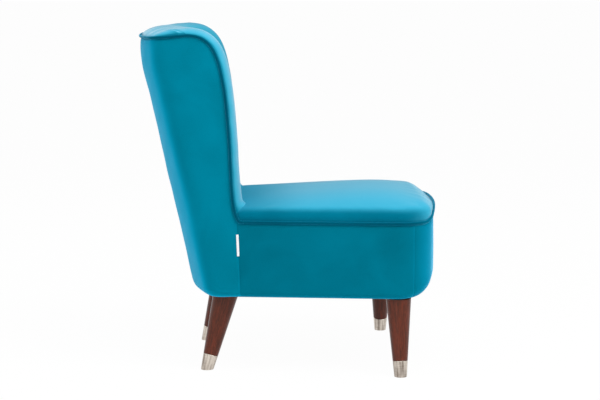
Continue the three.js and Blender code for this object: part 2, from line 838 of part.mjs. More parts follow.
const insideBack = insideBackGrid();
const backCore = new THREE.Vector3(0, backSeatY, seatEdgeHeight + backRise / 2);

// The surface behind the back's foam: the inside back's lines without the roll, set back by a depth.
function supportGrid(depth) {
  const front = wingLine.map((side) => columns.map((share) => new THREE.Vector3(
    share * sideHalfWidth(side.y),
    side.y - side.ny * depth + backHollow * hollowProfile(share),
    side.z - side.nz * depth
  )));
  const top = insideBack.slice(wingLine.length).map((row) => row.map((point) => new THREE.Vector3(
    point.x,
    point.y,
    rimHeight(point.y) - depth
  )));
  return [...front, ...top];
}

// A grid with its outermost columns repeated further out, so that it reaches past the sides.
function widened(grid) {
  const outward = new THREE.Vector3(overrun, 0, 0);
  return grid.map((row) => [row[0].clone().sub(outward), ...row, row.at(-1).clone().add(outward)]);
}

// The same surface carried outward, square to the wing outline, to cut what stands behind it.
function supportCutter(depth) {
  const support = widened(supportGrid(depth));
  const carried = support.map((row, index) => {
    const side = wingLine[Math.min(index, wingLine.length - 1)];
    return row.map((p) => p.clone().add(new THREE.Vector3(0, side.ny * cutterReach, side.nz * cutterReach)));
  });
  const foot = support[0].map((p) => new THREE.Vector3(p.x, p.y, legHeight));
  const carriedFoot = foot.map((p) => new THREE.Vector3(p.x, p.y - cutterReach, p.z));
  const rear = support.at(-1).map((p) => new THREE.Vector3(p.x, p.y + cutterReach, p.z));
  const carriedRear = rear.map((p) => new THREE.Vector3(p.x, p.y, p.z + cutterReach));
  return sheet([foot, ...support, rear], [carriedFoot, ...carried, carriedRear]);
}

const insideCover = sheet(insideBack, offsetGrid(insideBack, -coverThickness, backCore));
addSolid('inside_back_cover', insideCover.subtract(grooves), velvet);

const foamFace = offsetGrid(insideBack, -coverThickness - clearance, backCore);
const foamBody = sheet(foamFace, supportGrid(padDepth)).intersect(frameBody);
addSolid('back_foam', foamBody.subtract(channel), foam);

addSolid('outside_back_cover', skin.intersect(backRegion).subtract(grooves).subtract(legHoles), velvet);

// Back frame

const webbingFace = padDepth + clearance;
const railFace = webbingFace + webbingThickness + clearance;
const frontOfWebbing = supportCutter(webbingFace);
const frontOfRails = supportCutter(railFace);

// The side former: a board along the side, cut to the wing's outline.
const sideInset = coverThickness + clearance;
const boardBack = backSeatY + backRise * backRakeRatio;
const formerFoot = railTop + formerLift;
const boardPlan = new THREE.Shape();
boardPlan.moveTo(-sideHalfWidth(0) + sideInset, 0);
boardPlan.lineTo(-sideHalfWidth(boardBack) + sideInset, boardBack);
boardPlan.lineTo(-sideHalfWidth(boardBack) + sideInset + formerThickness, boardBack);
boardPlan.lineTo(-sideHalfWidth(0) + sideInset + formerThickness, 0);
const board = new THREE.ExtrudeGeometry(boardPlan, { depth: bodyTop - formerFoot, bevelEnabled: false });
board.translate(0, 0, formerFoot);
const formerRight = toSolid(board).intersect(frameBody).subtract(supportCutter(padDepth + clearance * 2));
addSolid('side_former_right', formerRight, plywood);
addSolid('side_former_left', mirrored(formerRight), plywood);

// The space between the two formers.
const innerPlan = new THREE.Shape();
const formerInside = (y) => sideHalfWidth(y) - sideInset - formerThickness - clearance;
innerPlan.moveTo(-formerInside(0), 0);
innerPlan.lineTo(-formerInside(boardBack), boardBack);
innerPlan.lineTo(formerInside(boardBack), boardBack);
innerPlan.lineTo(formerInside(0), 0);
const between = new THREE.ExtrudeGeometry(innerPlan, { depth: bodyTop, bevelEnabled: false });
const betweenFormers = toSolid(between);

const linerInside = bodyPrism(() => coverThickness + clearance + linerThickness);
const backRailSpace = bodyPrism(() => coverThickness + clearance * 2 + linerThickness);
const lowerRailHeight = seatEdgeHeight + lowerRailRise;
const middleRailHeight = seatEdgeHeight + middleRailRise;
const topRailHeight = wingTopZ - topRailDrop;
const postFront = postStandoff + postThickness;
const behindRails = bodyPrism(() => postFront + clearance);

function slice(lowZ, highZ) {
  return box([-farOut, 0, lowZ], [farOut, farOut, highZ]);
}

function spanX(lowX, highX) {
  return box([lowX, -farOut, -farOut], [highX, farOut, farOut]);
}

addSolid(
  'top_rail',
  betweenFormers
    .intersect(slice(topRailHeight, topRailHeight + backRailThickness))
    .intersect(backRailSpace)
    .subtract(frontOfRails),
  frameWood
);

for (const [name, height] of [['middle_rail', middleRailHeight], ['lower_rail', lowerRailHeight]]) {
  addSolid(
    name,
    betweenFormers
      .intersect(slice(height, height + backRailThickness))
      .intersect(behindRails)
      .intersect(frontOfRails.translate(0, backRailDepth, 0))
      .subtract(frontOfRails),
    frameWood
  );
}

const linerFoot = railTop + clearance;
const linerHalfWidth = middleHalfWidth - linerMargin;
addSolid(
  'back_liner',
  frameBody
    .subtract(linerInside)
    .intersect(slice(linerFoot, topRailHeight + backRailThickness))
    .intersect(spanX(-linerHalfWidth, linerHalfWidth))
    .intersect(spanY(backSeatY - backCornerRadius, farOut)),
  card
);

const postFoot = panelBottom + coverThickness + blockHeight + clearance * 2;
const postBand = bodyPrism(() => postStandoff + clearance * 2)
  .subtract(bodyPrism(() => postFront))
  .intersect(slice(postFoot, topRailHeight - clearance));
for (const [name, side] of [['right', -1], ['left', 1]]) {
  const x = side * springSpacing;
  addSolid(`back_post_${name}`, postBand.intersect(spanX(x - postWidth / 2, x + postWidth / 2)), frameWood);
}

const strapBand = frontOfWebbing
  .translate(0, webbingThickness, 0)
  .subtract(frontOfWebbing)
  .intersect(slice(lowerRailHeight + webbingFootLift, topRailHeight + webbingHeadLift))
  .intersect(spanY(wingFrontY, farOut));
for (const [name, step] of [['right', -1], ['middle', 0], ['left', 1]]) {
  const x = step * webbingSpacing;
  const strap = strapBand.intersect(spanX(x - webbingWidth / 2, x + webbingWidth / 2));
  addSolid(`back_webbing_${name}`, strap, webbingCloth);
}

// Seat panels

// The space under the seat piping, up to the lip of the seat.
const lipOutline = frontOutline(seamHeadY, -overrun);
const lipFoot = lipOutline.map((p) => new THREE.Vector3(p.x, p.y, panelBottom - overrun));
const lipHead = lipOutline.map((p) => new THREE.Vector3(p.x, p.y, seatLip(p)));
const underLip = ringStack([lipFoot, lipHead]);
const seatSkin = skin
  .intersect(underLip)
  .subtract(backRegion.translate(0, -clearance, 0))
  .subtract(grooves)
  .subtract(legHoles);
addSolid('front_band', seatSkin.intersect(spanY(-farOut, bandSeamY)), velvet);
const sidePanelRight = seatSkin.intersect(spanY(bandSeamY + clearance, farOut)).intersect(rightHalf);
addSolid('side_panel_right', sidePanelRight, velvet);
addSolid('side_panel_left', mirrored(sidePanelRight), velvet);

// Seat cushion

const cushionShares = [1, 0.992, 0.97, 0.93, 0.86, 0.7, 0.46, 0.2];
const seatCentreY = (seatFrontY + seatSideEndY) / 2;

// The cushion's outline as one closed ring, rounded at the rear corners under the back.
function cushionOutline() {
  const rear = endOutline({
    endY: seatBackY,
    startY: seatSideEndY,
    cornerRadius: seatBackCornerRadius,
    bowRadius: seatBackBowRadius,
    direction: 1
  });
  return [...frontOutline(seatSideEndY).slice(1, -1), ...rear.slice(sideSteps, -sideSteps).reverse()];
}

// Height of the cushion's edge above its piping where the outline is drawn in to a share.
function edgeRise(share, arch) {
  const edge = Math.max(0, (share - seatEdgeShare) / (1 - seatEdgeShare));
  const power = THREE.MathUtils.lerp(seatEdgePower, seatFrontPower, arch);
  return seatEdgeRise * Math.max(0, 1 - edge ** 2) ** power;
}

// The crown at a place on the seat: fullest ahead of the middle, and nothing at the edges.
function crownRise(x, y) {
  const across = Math.min(1, Math.abs(x) / sideHalfWidth(y));
  const ahead = THREE.MathUtils.clamp((seatCrownY - y) / (seatCrownY - seatFrontY), 0, 1);
  const behind = THREE.MathUtils.clamp((y - seatCrownY) / (seatCrownRear - seatCrownY), 0, 1);
  const fall = ahead ** seatCrownPower + behind ** seatFallPower;
  return seatDome * (1 - across ** seatCrownPower) * (1 - fall);
}

const cushionRings = cushionShares.map((share) => cushionOutline().map((p) => {
  const x = p.x * share;
  const y = THREE.MathUtils.lerp(seatCentreY, p.y, share);
  const lip = THREE.MathUtils.lerp(seatEdgeHeight, seatLip(p), share ** seatArchPower);
  return new THREE.Vector3(x, y, lip + edgeRise(share, archShare(p)) + crownRise(x, y));
}));

// The cushion's rings moved in, square to its surface.
function drawnIn(distance) {
  const inside = new THREE.Vector3(0, seatCentreY, seatEdgeHeight - seatEdgeRise);
  const looped = cushionRings.map((ring) => [ring.at(-1), ...ring, ring[0]]);
  return offsetGrid(looped, -distance, inside).map((ring) => ring.slice(1, -1));
}

// A solid under a stack of rings, straight down to a flat base.
function cushionSolid(rings, base) {
  const foot = rings[0].map((p) => new THREE.Vector3(p.x, p.y, base));
  return ringStack([foot, ...rings]);
}

// Everything from the inside back rearward, at the height of the seat.
const backFace = offsetGrid(insideBack.slice(0, cushionBackRows), clearance, backCore);
const backFoot = backFace[0].map((p) => new THREE.Vector3(p.x, p.y, legHeight));
const backFront = widened([backFoot, ...backFace]);
const backRear = backFront.map((row) => row.map((p) => new THREE.Vector3(p.x, p.y + cutterReach, p.z)));
const behindSeat = sheet(backFront, backRear);

const seatCover = ringStack(cushionRings)
  .subtract(cushionSolid(drawnIn(coverThickness), seatEdgeHeight - overrun))
  .subtract(behindSeat)
  .subtract(grooves);
addSolid('seat_cover', seatCover, velvet);

const deckHeight = clipTop + clearance;
const foamFoot = deckHeight + deckThickness + clearance;
// Everything between two heights.
function layer(lowZ, highZ) {
  return box([-farOut, -farOut, lowZ], [farOut, farOut, highZ]);
}

const cushionSpace = cushionSolid(drawnIn(coverThickness + clearance), legHeight)
  .intersect(frameBody)
  .subtract(behindSeat);
addSolid('seat_foam', cushionSpace.intersect(layer(foamFoot, bodyTop)).subtract(channel), foam);
addSolid('seat_deck', cushionSpace.intersect(layer(deckHeight, deckHeight + deckThickness)), cloth);

// Dust cover under the chair

const dustCover = bodyPrism((p) => tuckRadius(p) + dustCoverMargin)
  .intersect(layer(legHeight, legHeight + dustCoverThickness))
  .subtract(legHoles);
addSolid('dust_cover', dustCover, cloth);

// Blank tag sewn into the right side seam

const tagShape = new THREE.Shape();
const tagRadius = tagWidth / 2;
const tagStraight = tagLength / 2 - tagRadius;
tagShape.absarc(0, tagStraight, tagRadius, 0, Math.PI);
tagShape.absarc(0, -tagStraight, tagRadius, Math.PI, 2 * Math.PI);
const tagGeometry = new THREE.ExtrudeGeometry(tagShape, {
  depth: tagThickness,
  bevelEnabled: false,
  curveSegments: tagSegments
});
const seamHead = new THREE.Vector3(-sideHalfWidth(seamHeadY), seamHeadY, seatEdgeHeight);
const seamFoot = new THREE.Vector3(-sideHalfWidth(seamFootY), seamFootY, panelBottom);
const seamUp = new THREE.Vector3().subVectors(seamHead, seamFoot).normalize();
const sideFacing = new THREE.Vector3(-1, sideFlareRatio, 0).normalize();
const tagAcross = new THREE.Vector3().crossVectors(seamUp, sideFacing);
const tagMiddle = seamHead.clone().addScaledVector(seamUp, -tagTopDrop - tagLength / 2);
tagGeometry.applyMatrix4(new THREE.Matrix4().makeBasis(tagAcross, seamUp, sideFacing));
tagGeometry.translate(...tagMiddle.addScaledVector(sideFacing, clearance));
addSolid('side_tag', toSolid(tagGeometry), tagCloth);

export default chair;
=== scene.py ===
"""A slipper chair in teal velvet, seen from its right side in a plain studio.

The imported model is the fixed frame. The covers, the cords, the legs, the ferrules and the tag are
made again here as smooth forms in the same places, and the inner pieces keep their solids.
Lengths are in millimetres until a mesh is made, and then in metres.
"""

import json
import math

import bmesh
import bpy
import numpy as np
from mathutils import Matrix, Vector


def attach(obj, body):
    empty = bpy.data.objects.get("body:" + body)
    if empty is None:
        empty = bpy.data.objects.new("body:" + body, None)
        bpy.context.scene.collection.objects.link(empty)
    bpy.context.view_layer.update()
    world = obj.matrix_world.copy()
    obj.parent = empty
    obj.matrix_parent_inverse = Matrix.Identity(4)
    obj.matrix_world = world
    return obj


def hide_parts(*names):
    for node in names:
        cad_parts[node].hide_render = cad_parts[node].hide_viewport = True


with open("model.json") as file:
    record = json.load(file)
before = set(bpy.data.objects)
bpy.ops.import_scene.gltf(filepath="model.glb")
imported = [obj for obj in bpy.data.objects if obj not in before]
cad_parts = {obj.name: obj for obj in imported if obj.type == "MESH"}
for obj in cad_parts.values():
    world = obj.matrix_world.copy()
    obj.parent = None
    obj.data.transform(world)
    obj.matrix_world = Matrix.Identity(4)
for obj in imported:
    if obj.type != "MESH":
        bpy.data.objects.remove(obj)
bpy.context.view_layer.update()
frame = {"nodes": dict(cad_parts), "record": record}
scene = bpy.context.scene

MILLIMETRE = 0.001


# The chair's sizes, in millimetres. Shares, powers, roundnesses, SIDE_FLARE, BACK_RAKE and RIM_FALL
# have no unit.

LEG_HEIGHT = 190
SEAT_EDGE_HEIGHT = 381
BACK_RISE = 457
MIDDLE_HALF_WIDTH = 244
SIDE_FLARE = 0.125

# Plan of the seat's front and of the back
SEAT_FRONT_Y = -372
FRONT_CORNER_RADIUS = 90
FRONT_BOW_RADIUS = 1000
FRONT_ARCH = 26
FRONT_ARCH_POWER = 3
BACK_SEAT_Y = 285.4
BACK_RAKE = 0.2185
SHOULDER_HEIGHT = 85
SHOULDER_DEPTH = 13
BACK_CORNER_RADIUS = 45
BACK_BOW_RADIUS = 560

# Lower edges, which turn under the chair
PANEL_BOTTOM = 191.5
SIDE_TUCK_RADIUS = 15
FRONT_TUCK_RADIUS = 56
BACK_TUCK_RADIUS = 12
TURN_UNDER = 9
UNDER_LIFT = 0.2

# Cords, and the skirt of cover that hangs inside them
CORD_RADIUS = 3.8
CORD_INSET = -0.2
SKIRT = 7

# Seat cushion
SEAT_EDGE_RISE = 31
SEAT_SIDE_ROUNDNESS = 3.6
SEAT_FRONT_ROUNDNESS = 2.0
SEAT_FRONT_POWER = 1.0
SEAT_DOME = 29
SEAT_CROWN_Y = -205
SEAT_CROWN_REAR = 230
SEAT_CROWN_POWER = 2.7
SEAT_FALL_POWER = 1.5
SEAT_ARCH_POWER = 12
SEAT_EDGE_SHARE = 0.86
SEAT_FRONT_SHARE = 0.8
SEAT_SIDE_END_Y = 120
SEAT_BACK_Y = 196
SEAT_BACK_CORNER_RADIUS = 26
SEAT_BACK_BOW_RADIUS = 470

# Inside back: its rolls, its hollow and the lobes at its foot
RIM_ROLL = 21.5
CREST_ROLL = 16
CREST_FRONT_SHARE = 0.32
CREST_POWER = 2.0
ROLL_SHARE = 0.3
ROLL_POWER = 1.6
BACK_HOLLOW = 52
SPREAD_ROLL = 2.5
SPREAD_REACH = 70
LOBE_ROLL = 11
LOBE_REACH = 10
LOBE_HEIGHT = 24
RIM_FALL = 0.08

# Side view of the wing, through points at shares of its depth and of the back's rise
WING_FRONT_Y = 126
WING_DEPTH = 234
WING_SHARES = [
    (0, 0), (0.045, 0.035), (0.075, 0.112), (0.092, 0.24), (0.108, 0.43), (0.144, 0.655),
    (0.18, 0.775), (0.225, 0.872), (0.3, 0.948), (0.41, 0.99), (0.538, 1),
]

# Seams
CORDS_MEET_Y = 118
SEAM_FOOT_Y = 127
SEAM_HEAD_Y = 134
SEAM_LAP = 0.5
SEAM_INSET = 4
BAND_SEAM_Y = -301

# Legs and ferrules, with the x and y of each leg's foot and top
LEG_TOP_RADIUS = 31.5
LEG_FOOT_RADIUS = 15.5
FERRULE_HEIGHT = 38
FERRULE_WALL = 1.2
FRONT_LEG = ((275, -268), (234, -265.5))
BACK_LEG = ((172, 209.5), (152, 161.5))

# Tag in the right side seam
TAG_LENGTH = 54
TAG_WIDTH = 6
TAG_THICKNESS = 0.8
TAG_TOP_DROP = 31


# Meshes

def placed(name, data):
    """A new object in the scene."""
    thing = bpy.data.objects.new(name, data)
    scene.collection.objects.link(thing)
    return thing


def make_piece(name, points, faces, material):
    """A smooth mesh from points in millimetres, riding on the chair."""
    mesh = bpy.data.meshes.new(name)
    mesh.from_pydata((np.asarray(points, float) * MILLIMETRE).tolist(), [], faces)
    mesh.materials.append(material)
    mesh.shade_smooth()
    piece = placed(name, mesh)
    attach(piece, "root")
    return piece


def grid_faces(rows, columns, closed=False):
    """Quads over a grid of points, row by row; a closed grid joins its last column to its first."""
    faces = []
    last = columns if closed else columns - 1
    for row in range(rows - 1):
        for column in range(last):
            a = row * columns + column
            b = row * columns + (column + 1) % columns
            faces.append((a, b, b + columns, a + columns))
    return faces


def cover(name, grid, material, outward):
    """A sheet of cover from a grid of points, facing the given way at its middle."""
    rows, columns, _ = grid.shape
    middle_row, middle_column = rows // 2, columns // 2
    across = grid[middle_row, middle_column + 1] - grid[middle_row, middle_column]
    along = grid[middle_row + 1, middle_column] - grid[middle_row, middle_column]
    if np.dot(np.cross(across, along), outward) < 0:
        grid = grid[:, ::-1]
    return make_piece(name, grid.reshape(-1, 3), grid_faces(rows, columns), material)


def unit(vectors):
    """Vectors at a length of one."""
    return vectors / (np.linalg.norm(vectors, axis=-1, keepdims=True) + 1e-9)


def surface_normals(grid, outward_from):
    """Unit normals of a grid of points, pointing away from a place inside."""
    normals = unit(np.cross(np.gradient(grid, axis=1), np.gradient(grid, axis=0)))
    facing = np.sum(normals * (grid - np.asarray(outward_from, float)), axis=2, keepdims=True)
    return np.where(facing < 0, -normals, normals)


def running_lengths(points, axis=0):
    """How far each point is along its line, or down its column (axis 0) or along its row (axis 1)."""
    steps = np.linalg.norm(np.diff(points, axis=axis), axis=-1)
    return np.concatenate([np.zeros_like(np.take(steps, [0], axis)), np.cumsum(steps, axis=axis)], axis=axis)


def from_sides(grid):
    """How far each point is from the nearer end of its row."""
    along = running_lengths(grid, 1)
    return np.minimum(along, along[:, -1:] - along)


def eased(points, passes):
    """Points of a line, or of each row of a grid, averaged with their neighbours while the ends stay."""
    points = points.copy()
    for _ in range(passes):
        points[..., 1:-1, :] = (points[..., :-2, :] + 2 * points[..., 1:-1, :] + points[..., 2:, :]) / 4
    return points


def ripples(along, across, waves, seed):
    """Soft irregular ripples: a sum of waves of the given lengths, with settled phases."""
    random = np.random.default_rng(seed)
    total = np.zeros(np.broadcast(along, across).shape)
    for length in waves:
        phase, tilt, drift = random.uniform(0, 2 * math.pi, 3)
        slant = 0.35 * math.sin(tilt)
        swell = 0.6 + 0.4 * np.sin(along / (length * 5.3) + drift)
        total = total + swell * np.sin(2 * math.pi * (along + slant * across) / length + phase)
    return total / len(waves)


def smoothstep(value, low, high):
    share = np.clip((value - low) / (high - low), 0, 1)
    return share * share * (3 - 2 * share)


CROWDING = 2.2


def crowded(count, low, high):
    """Places from low to high, close together at both ends."""
    share = np.linspace(-1, 1, count)
    curved = np.sign(share) * (1 - (1 - np.abs(share)) ** CROWDING)
    return low + (high - low) * (curved + 1) / 2


def resampled(row, places, keys):
    """A row of points taken again at the given places of a key that rises along it."""
    return np.stack([np.interp(places, keys, column) for column in row.T], axis=1)


# Plan outlines, as in the solids

def side_half_width(y):
    return MIDDLE_HALF_WIDTH - SIDE_FLARE * y


def end_outline(end_y, start_y, corner_radius, bow_radius, direction, counts):
    """One end of the plan from the right side round to the left, as rows of x, y and the normal. The
    counts are the points on the side, round the corner and on half the bow."""
    side_count, corner_count, bow_count = counts
    flare = SIDE_FLARE * direction
    slope = math.hypot(1, flare)
    bow_centre = direction * end_y - bow_radius
    reach = bow_radius - corner_radius
    shift = corner_radius * slope - MIDDLE_HALF_WIDTH
    half = shift * flare - bow_centre
    root = half ** 2 - slope ** 2 * (shift ** 2 + bow_centre ** 2 - reach ** 2)
    corner_depth = (math.sqrt(root) - half) / slope ** 2
    corner_x = shift + flare * corner_depth
    side_angle = math.pi - math.atan(flare)
    bow_angle = math.atan2(corner_depth - bow_centre, corner_x)
    tangent_depth = corner_depth + corner_radius * math.sin(side_angle)
    depth = np.linspace(direction * start_y, tangent_depth, side_count, endpoint=False)
    side_x = flare * depth - MIDDLE_HALF_WIDTH
    corner = np.linspace(side_angle, bow_angle, corner_count, endpoint=False)
    bow = np.linspace(bow_angle, math.pi / 2, bow_count + 1)
    x = np.concatenate([side_x, corner_x + corner_radius * np.cos(corner), bow_radius * np.cos(bow)])
    y = np.concatenate([depth, corner_depth + corner_radius * np.sin(corner),
                        bow_centre + bow_radius * np.sin(bow)])
    angle = np.concatenate([np.full(side_count, side_angle), corner, bow])
    right = np.stack([x, y * direction, np.cos(angle), np.sin(angle) * direction], axis=1)
    left = right[-2::-1] * np.array([-1, 1, -1, 1])
    return np.concatenate([right, left])


def back_lean(z):
    """How far the back stands behind its place at the seat: a rake that draws in under the rim."""
    drawn_in = min(1, max(0, 1 + (z - SEAT_EDGE_HEIGHT - BACK_RISE) / SHOULDER_HEIGHT))
    return (z - SEAT_EDGE_HEIGHT) * BACK_RAKE - SHOULDER_DEPTH * drawn_in ** 2


def back_outline(z, start_y, counts):
    end_y = BACK_SEAT_Y + back_lean(z)
    return end_outline(end_y, start_y, BACK_CORNER_RADIUS, BACK_BOW_RADIUS, 1, counts)


def front_outline(start_y, counts):
    return end_outline(SEAT_FRONT_Y, start_y, FRONT_CORNER_RADIUS, FRONT_BOW_RADIUS, -1, counts)


def arch_share(outline):
    """How fully the front is arched along an outline: 1 in the middle, 0 at the sides."""
    frontness = smoothstep(-outline[:, 3], 0, 1)
    aside = np.abs(outline[:, 0]) / MIDDLE_HALF_WIDTH
    return frontness * np.maximum(0, 1 - aside ** FRONT_ARCH_POWER)


def seat_lip(outline):
    """Height of the seat cord along an outline."""
    return SEAT_EDGE_HEIGHT + FRONT_ARCH * arch_share(outline)


def tuck_radius(outline):
    """How round the cover turns under the chair along an outline."""
    ny = outline[:, 3]
    front = SIDE_TUCK_RADIUS + (FRONT_TUCK_RADIUS - SIDE_TUCK_RADIUS) * ny ** 2
    rear = SIDE_TUCK_RADIUS + (BACK_TUCK_RADIUS - SIDE_TUCK_RADIUS) * smoothstep(ny, SIDE_FLARE, 1)
    return np.where(ny < 0, front, rear)


WING_STEPS = 90
WING_KNOT_STEPS = 60


def wing_line():
    """Points up the wing in side view, with the normals that face forward and up."""
    shares = np.array(WING_SHARES, float)
    knots = (WING_FRONT_Y, SEAT_EDGE_HEIGHT) + shares * (WING_DEPTH, BACK_RISE)
    padded = np.concatenate([[knots[0]], knots, [knots[-1]]])
    curve = []
    for index in range(len(knots) - 1):
        before, start, end, after = padded[index:index + 4]
        share = np.linspace(0, 1, WING_KNOT_STEPS, endpoint=False)[:, None]
        enter, leave = (end - before) / 2, (after - start) / 2
        square, cube = share ** 2, share ** 3
        curve.append((2 * start - 2 * end + enter + leave) * cube
                     + (3 * end - 3 * start - 2 * enter - leave) * square + enter * share + start)
    curve = np.concatenate([*curve, [knots[-1]]])
    lengths = running_lengths(curve)
    places = np.linspace(0, lengths[-1], WING_STEPS)
    smoothed = eased(resampled(curve, places, lengths), 3)
    tangent = unit(np.gradient(smoothed, axis=0))
    return np.concatenate([smoothed, -tangent[:, 1:], tangent[:, :1]], axis=1)


wing = wing_line()
WING_TOP_Y = WING_FRONT_Y + WING_DEPTH * WING_SHARES[-1][0]
WING_TOP_Z = SEAT_EDGE_HEIGHT + BACK_RISE


def rim_height(y):
    return WING_TOP_Z - RIM_FALL * (y - WING_TOP_Y)


def rim_outline(counts):
    """The rear outline laid on the falling rim, as rows of x, y, z and the normal."""
    top = back_outline(WING_TOP_Z, WING_TOP_Y, counts)
    rows = []
    for step, point in enumerate(top):
        z = rim_height(point[1])
        lower = back_outline(z, WING_TOP_Y, counts)[step]
        rows.append([lower[0], lower[1], rim_height(lower[1]), lower[2], lower[3]])
    return np.array(rows)


# Colours and materials

def linear(colour):
    """The linear values of an sRGB hex colour, with full alpha."""
    channels = [((colour >> shift) & 255) / 255 for shift in (16, 8, 0)]
    return tuple(c / 12.92 if c <= 0.04045 else ((c + 0.055) / 1.055) ** 2.4 for c in channels) + (1.0,)


def add_node(material, kind, settings=None, links=None):
    """Adds a node to a material. Its settings are properties, sockets' own values or the two stops of
    a colour ramp, and each link comes from a socket or from a node's first output."""
    tree = material.node_tree
    node = tree.nodes.new(kind)
    for key, value in (settings or {}).items():
        if key == "stops":
            for stop, (share, colour) in zip(node.color_ramp.elements, value):
                stop.position = share
                stop.color = linear(colour)
        elif isinstance(key, str) and hasattr(node, key):
            setattr(node, key, value)
        else:
            node.inputs[key].default_value = value
    for key, source in (links or {}).items():
        tree.links.new(getattr(source, "outputs", [source])[0], node.inputs[key])
    return node


def new_material(name):
    material = bpy.data.materials.new(name)
    material.use_nodes = True
    material.node_tree.nodes.clear()
    return material


def cut_velvet(name, deep, bright, painted_sheen_colour, sheen, pressed=None):
    """Cotton velvet, woven with a short upright pile and cut. From the front it shows a deep, even
    colour with faint cloudy marks about 140 mm across where it has been stroked. Where it turns
    away from the view its colour is painted lighter, a painted sheen, towards its painted sheen
    colour, and the shader's pale sheen lies over it. Where painted shade is given by pressed, as an
    axis with the place where the shade begins and the place where it is deepest, both sheens are
    weaker. The tufts are 0.4 mm apart, drawn at 1.2 mm so that they show."""
    material = new_material(name)
    place = add_node(material, "ShaderNodeTexCoord").outputs["Object"]
    stroked = add_node(material, "ShaderNodeTexNoise", {"Scale": 7.0, "Detail": 3.0, "Distortion": 0.6},
                       {"Vector": place})
    tufts = add_node(material, "ShaderNodeTexNoise", {"Scale": 830.0, "Detail": 2.0}, {"Vector": place})
    marks = add_node(material, "ShaderNodeMix", {"data_type": "FLOAT", "Factor": 0.4},
                     {"A": stroked, "B": tufts})
    colour = add_node(material, "ShaderNodeValToRGB", {"stops": ((0.3, deep), (0.7, bright))},
                      {"Fac": marks})
    relief = add_node(material, "ShaderNodeBump", {"Strength": 0.25, "Distance": 0.0004}, {"Height": tufts})
    # Painted sheen: where the surface turns away from the view, its colour is painted lighter towards the
    # painted sheen colour.
    slant = add_node(material, "ShaderNodeLayerWeight", {"Blend": 0.5}).outputs["Facing"]
    painted_sheen_share = add_node(material, "ShaderNodeMapRange", {"interpolation_type": "SMOOTHSTEP", "From Max": 0.8},
                   {"Value": slant})
    surface = {"Normal": relief}
    # Painted shade: along the given axis the painted sheen and the shader's sheen fade, so the velvet is
    # darker there.
    if pressed:
        axis, shade_begins_at, shade_deepest_at = pressed
        along = add_node(material, "ShaderNodeSeparateXYZ", links={0: place}).outputs[axis]
        painted_light_level = add_node(material, "ShaderNodeMapRange", {
            "interpolation_type": "SMOOTHSTEP", "From Min": shade_begins_at, "From Max": shade_deepest_at,
            "To Min": 1.0, "To Max": 0.2}, {"Value": along})
        painted_sheen_left = add_node(material, "ShaderNodeMapRange", {"To Min": 0.4}, {"Value": painted_light_level})
        painted_sheen_share = add_node(material, "ShaderNodeMath", {"operation": "MULTIPLY"}, {0: painted_sheen_share, 1: painted_sheen_left})
        surface["Sheen Weight"] = painted_light_level
    surface["Base Color"] = add_node(material, "ShaderNodeMix", {"data_type": "RGBA", 7: linear(painted_sheen_colour)},
                                     {0: painted_sheen_share, 6: colour}).outputs[2]
    shader = add_node(material, "ShaderNodeBsdfPrincipled", {
        "Roughness": 0.9,
        "IOR": 1.45,
        "Specular IOR Level": 0.0,
        "Sheen Weight": 1.0,
        "Sheen Roughness": 0.28,
        "Sheen Tint": linear(sheen),
    }, surface)
    add_node(material, "ShaderNodeOutputMaterial", links={"Surface": shader})
    return material


def stained_hardwood(name):
    """Turned hardwood, stained reddish brown under satin lacquer. Grain runs up the leg along its own
    axis, with bands about 4 mm wide and pores 0.5 mm wide."""
    material = new_material(name)
    place = add_node(material, "ShaderNodeAttribute", {"attribute_name": "turned_place"}).outputs["Vector"]
    bands = add_node(material, "ShaderNodeMapping", {"Scale": (1.0, 1.0, 0.06)}, {"Vector": place})
    figure = add_node(material, "ShaderNodeTexNoise", {"Scale": 190.0, "Detail": 4.0, "Distortion": 1.2},
                      {"Vector": bands})
    upright = add_node(material, "ShaderNodeMapping", {"Scale": (1.0, 1.0, 0.025)}, {"Vector": place})
    pores = add_node(material, "ShaderNodeTexNoise", {"Scale": 1500.0, "Detail": 2.0}, {"Vector": upright})
    stain = add_node(material, "ShaderNodeValToRGB", {"stops": ((0.34, 0x48200F), (0.7, 0x6E2E1A))},
                     {"Fac": figure})
    shade = add_node(material, "ShaderNodeValToRGB", {"stops": ((0.38, 0x6E5A50), (0.55, 0xFFFFFF))},
                     {"Fac": pores})
    colour = add_node(material, "ShaderNodeMix", {
        "data_type": "RGBA", "blend_type": "MULTIPLY", "Factor": 0.35}, {6: stain, 7: shade}).outputs[2]
    gloss = add_node(material, "ShaderNodeMapRange", {"To Min": 0.25, "To Max": 0.4}, {"Value": figure})
    relief = add_node(material, "ShaderNodeBump", {"Strength": 0.2, "Distance": 0.0002}, {"Height": pores})
    shader = add_node(material, "ShaderNodeBsdfPrincipled", {
        "IOR": 1.5,
        "Specular IOR Level": 0.22,
        "Coat Weight": 0.1,
        "Coat Roughness": 0.15,
    }, {"Base Color": colour, "Roughness": gloss, "Normal": relief})
    add_node(material, "ShaderNodeOutputMaterial", links={"Surface": shader})
    return material


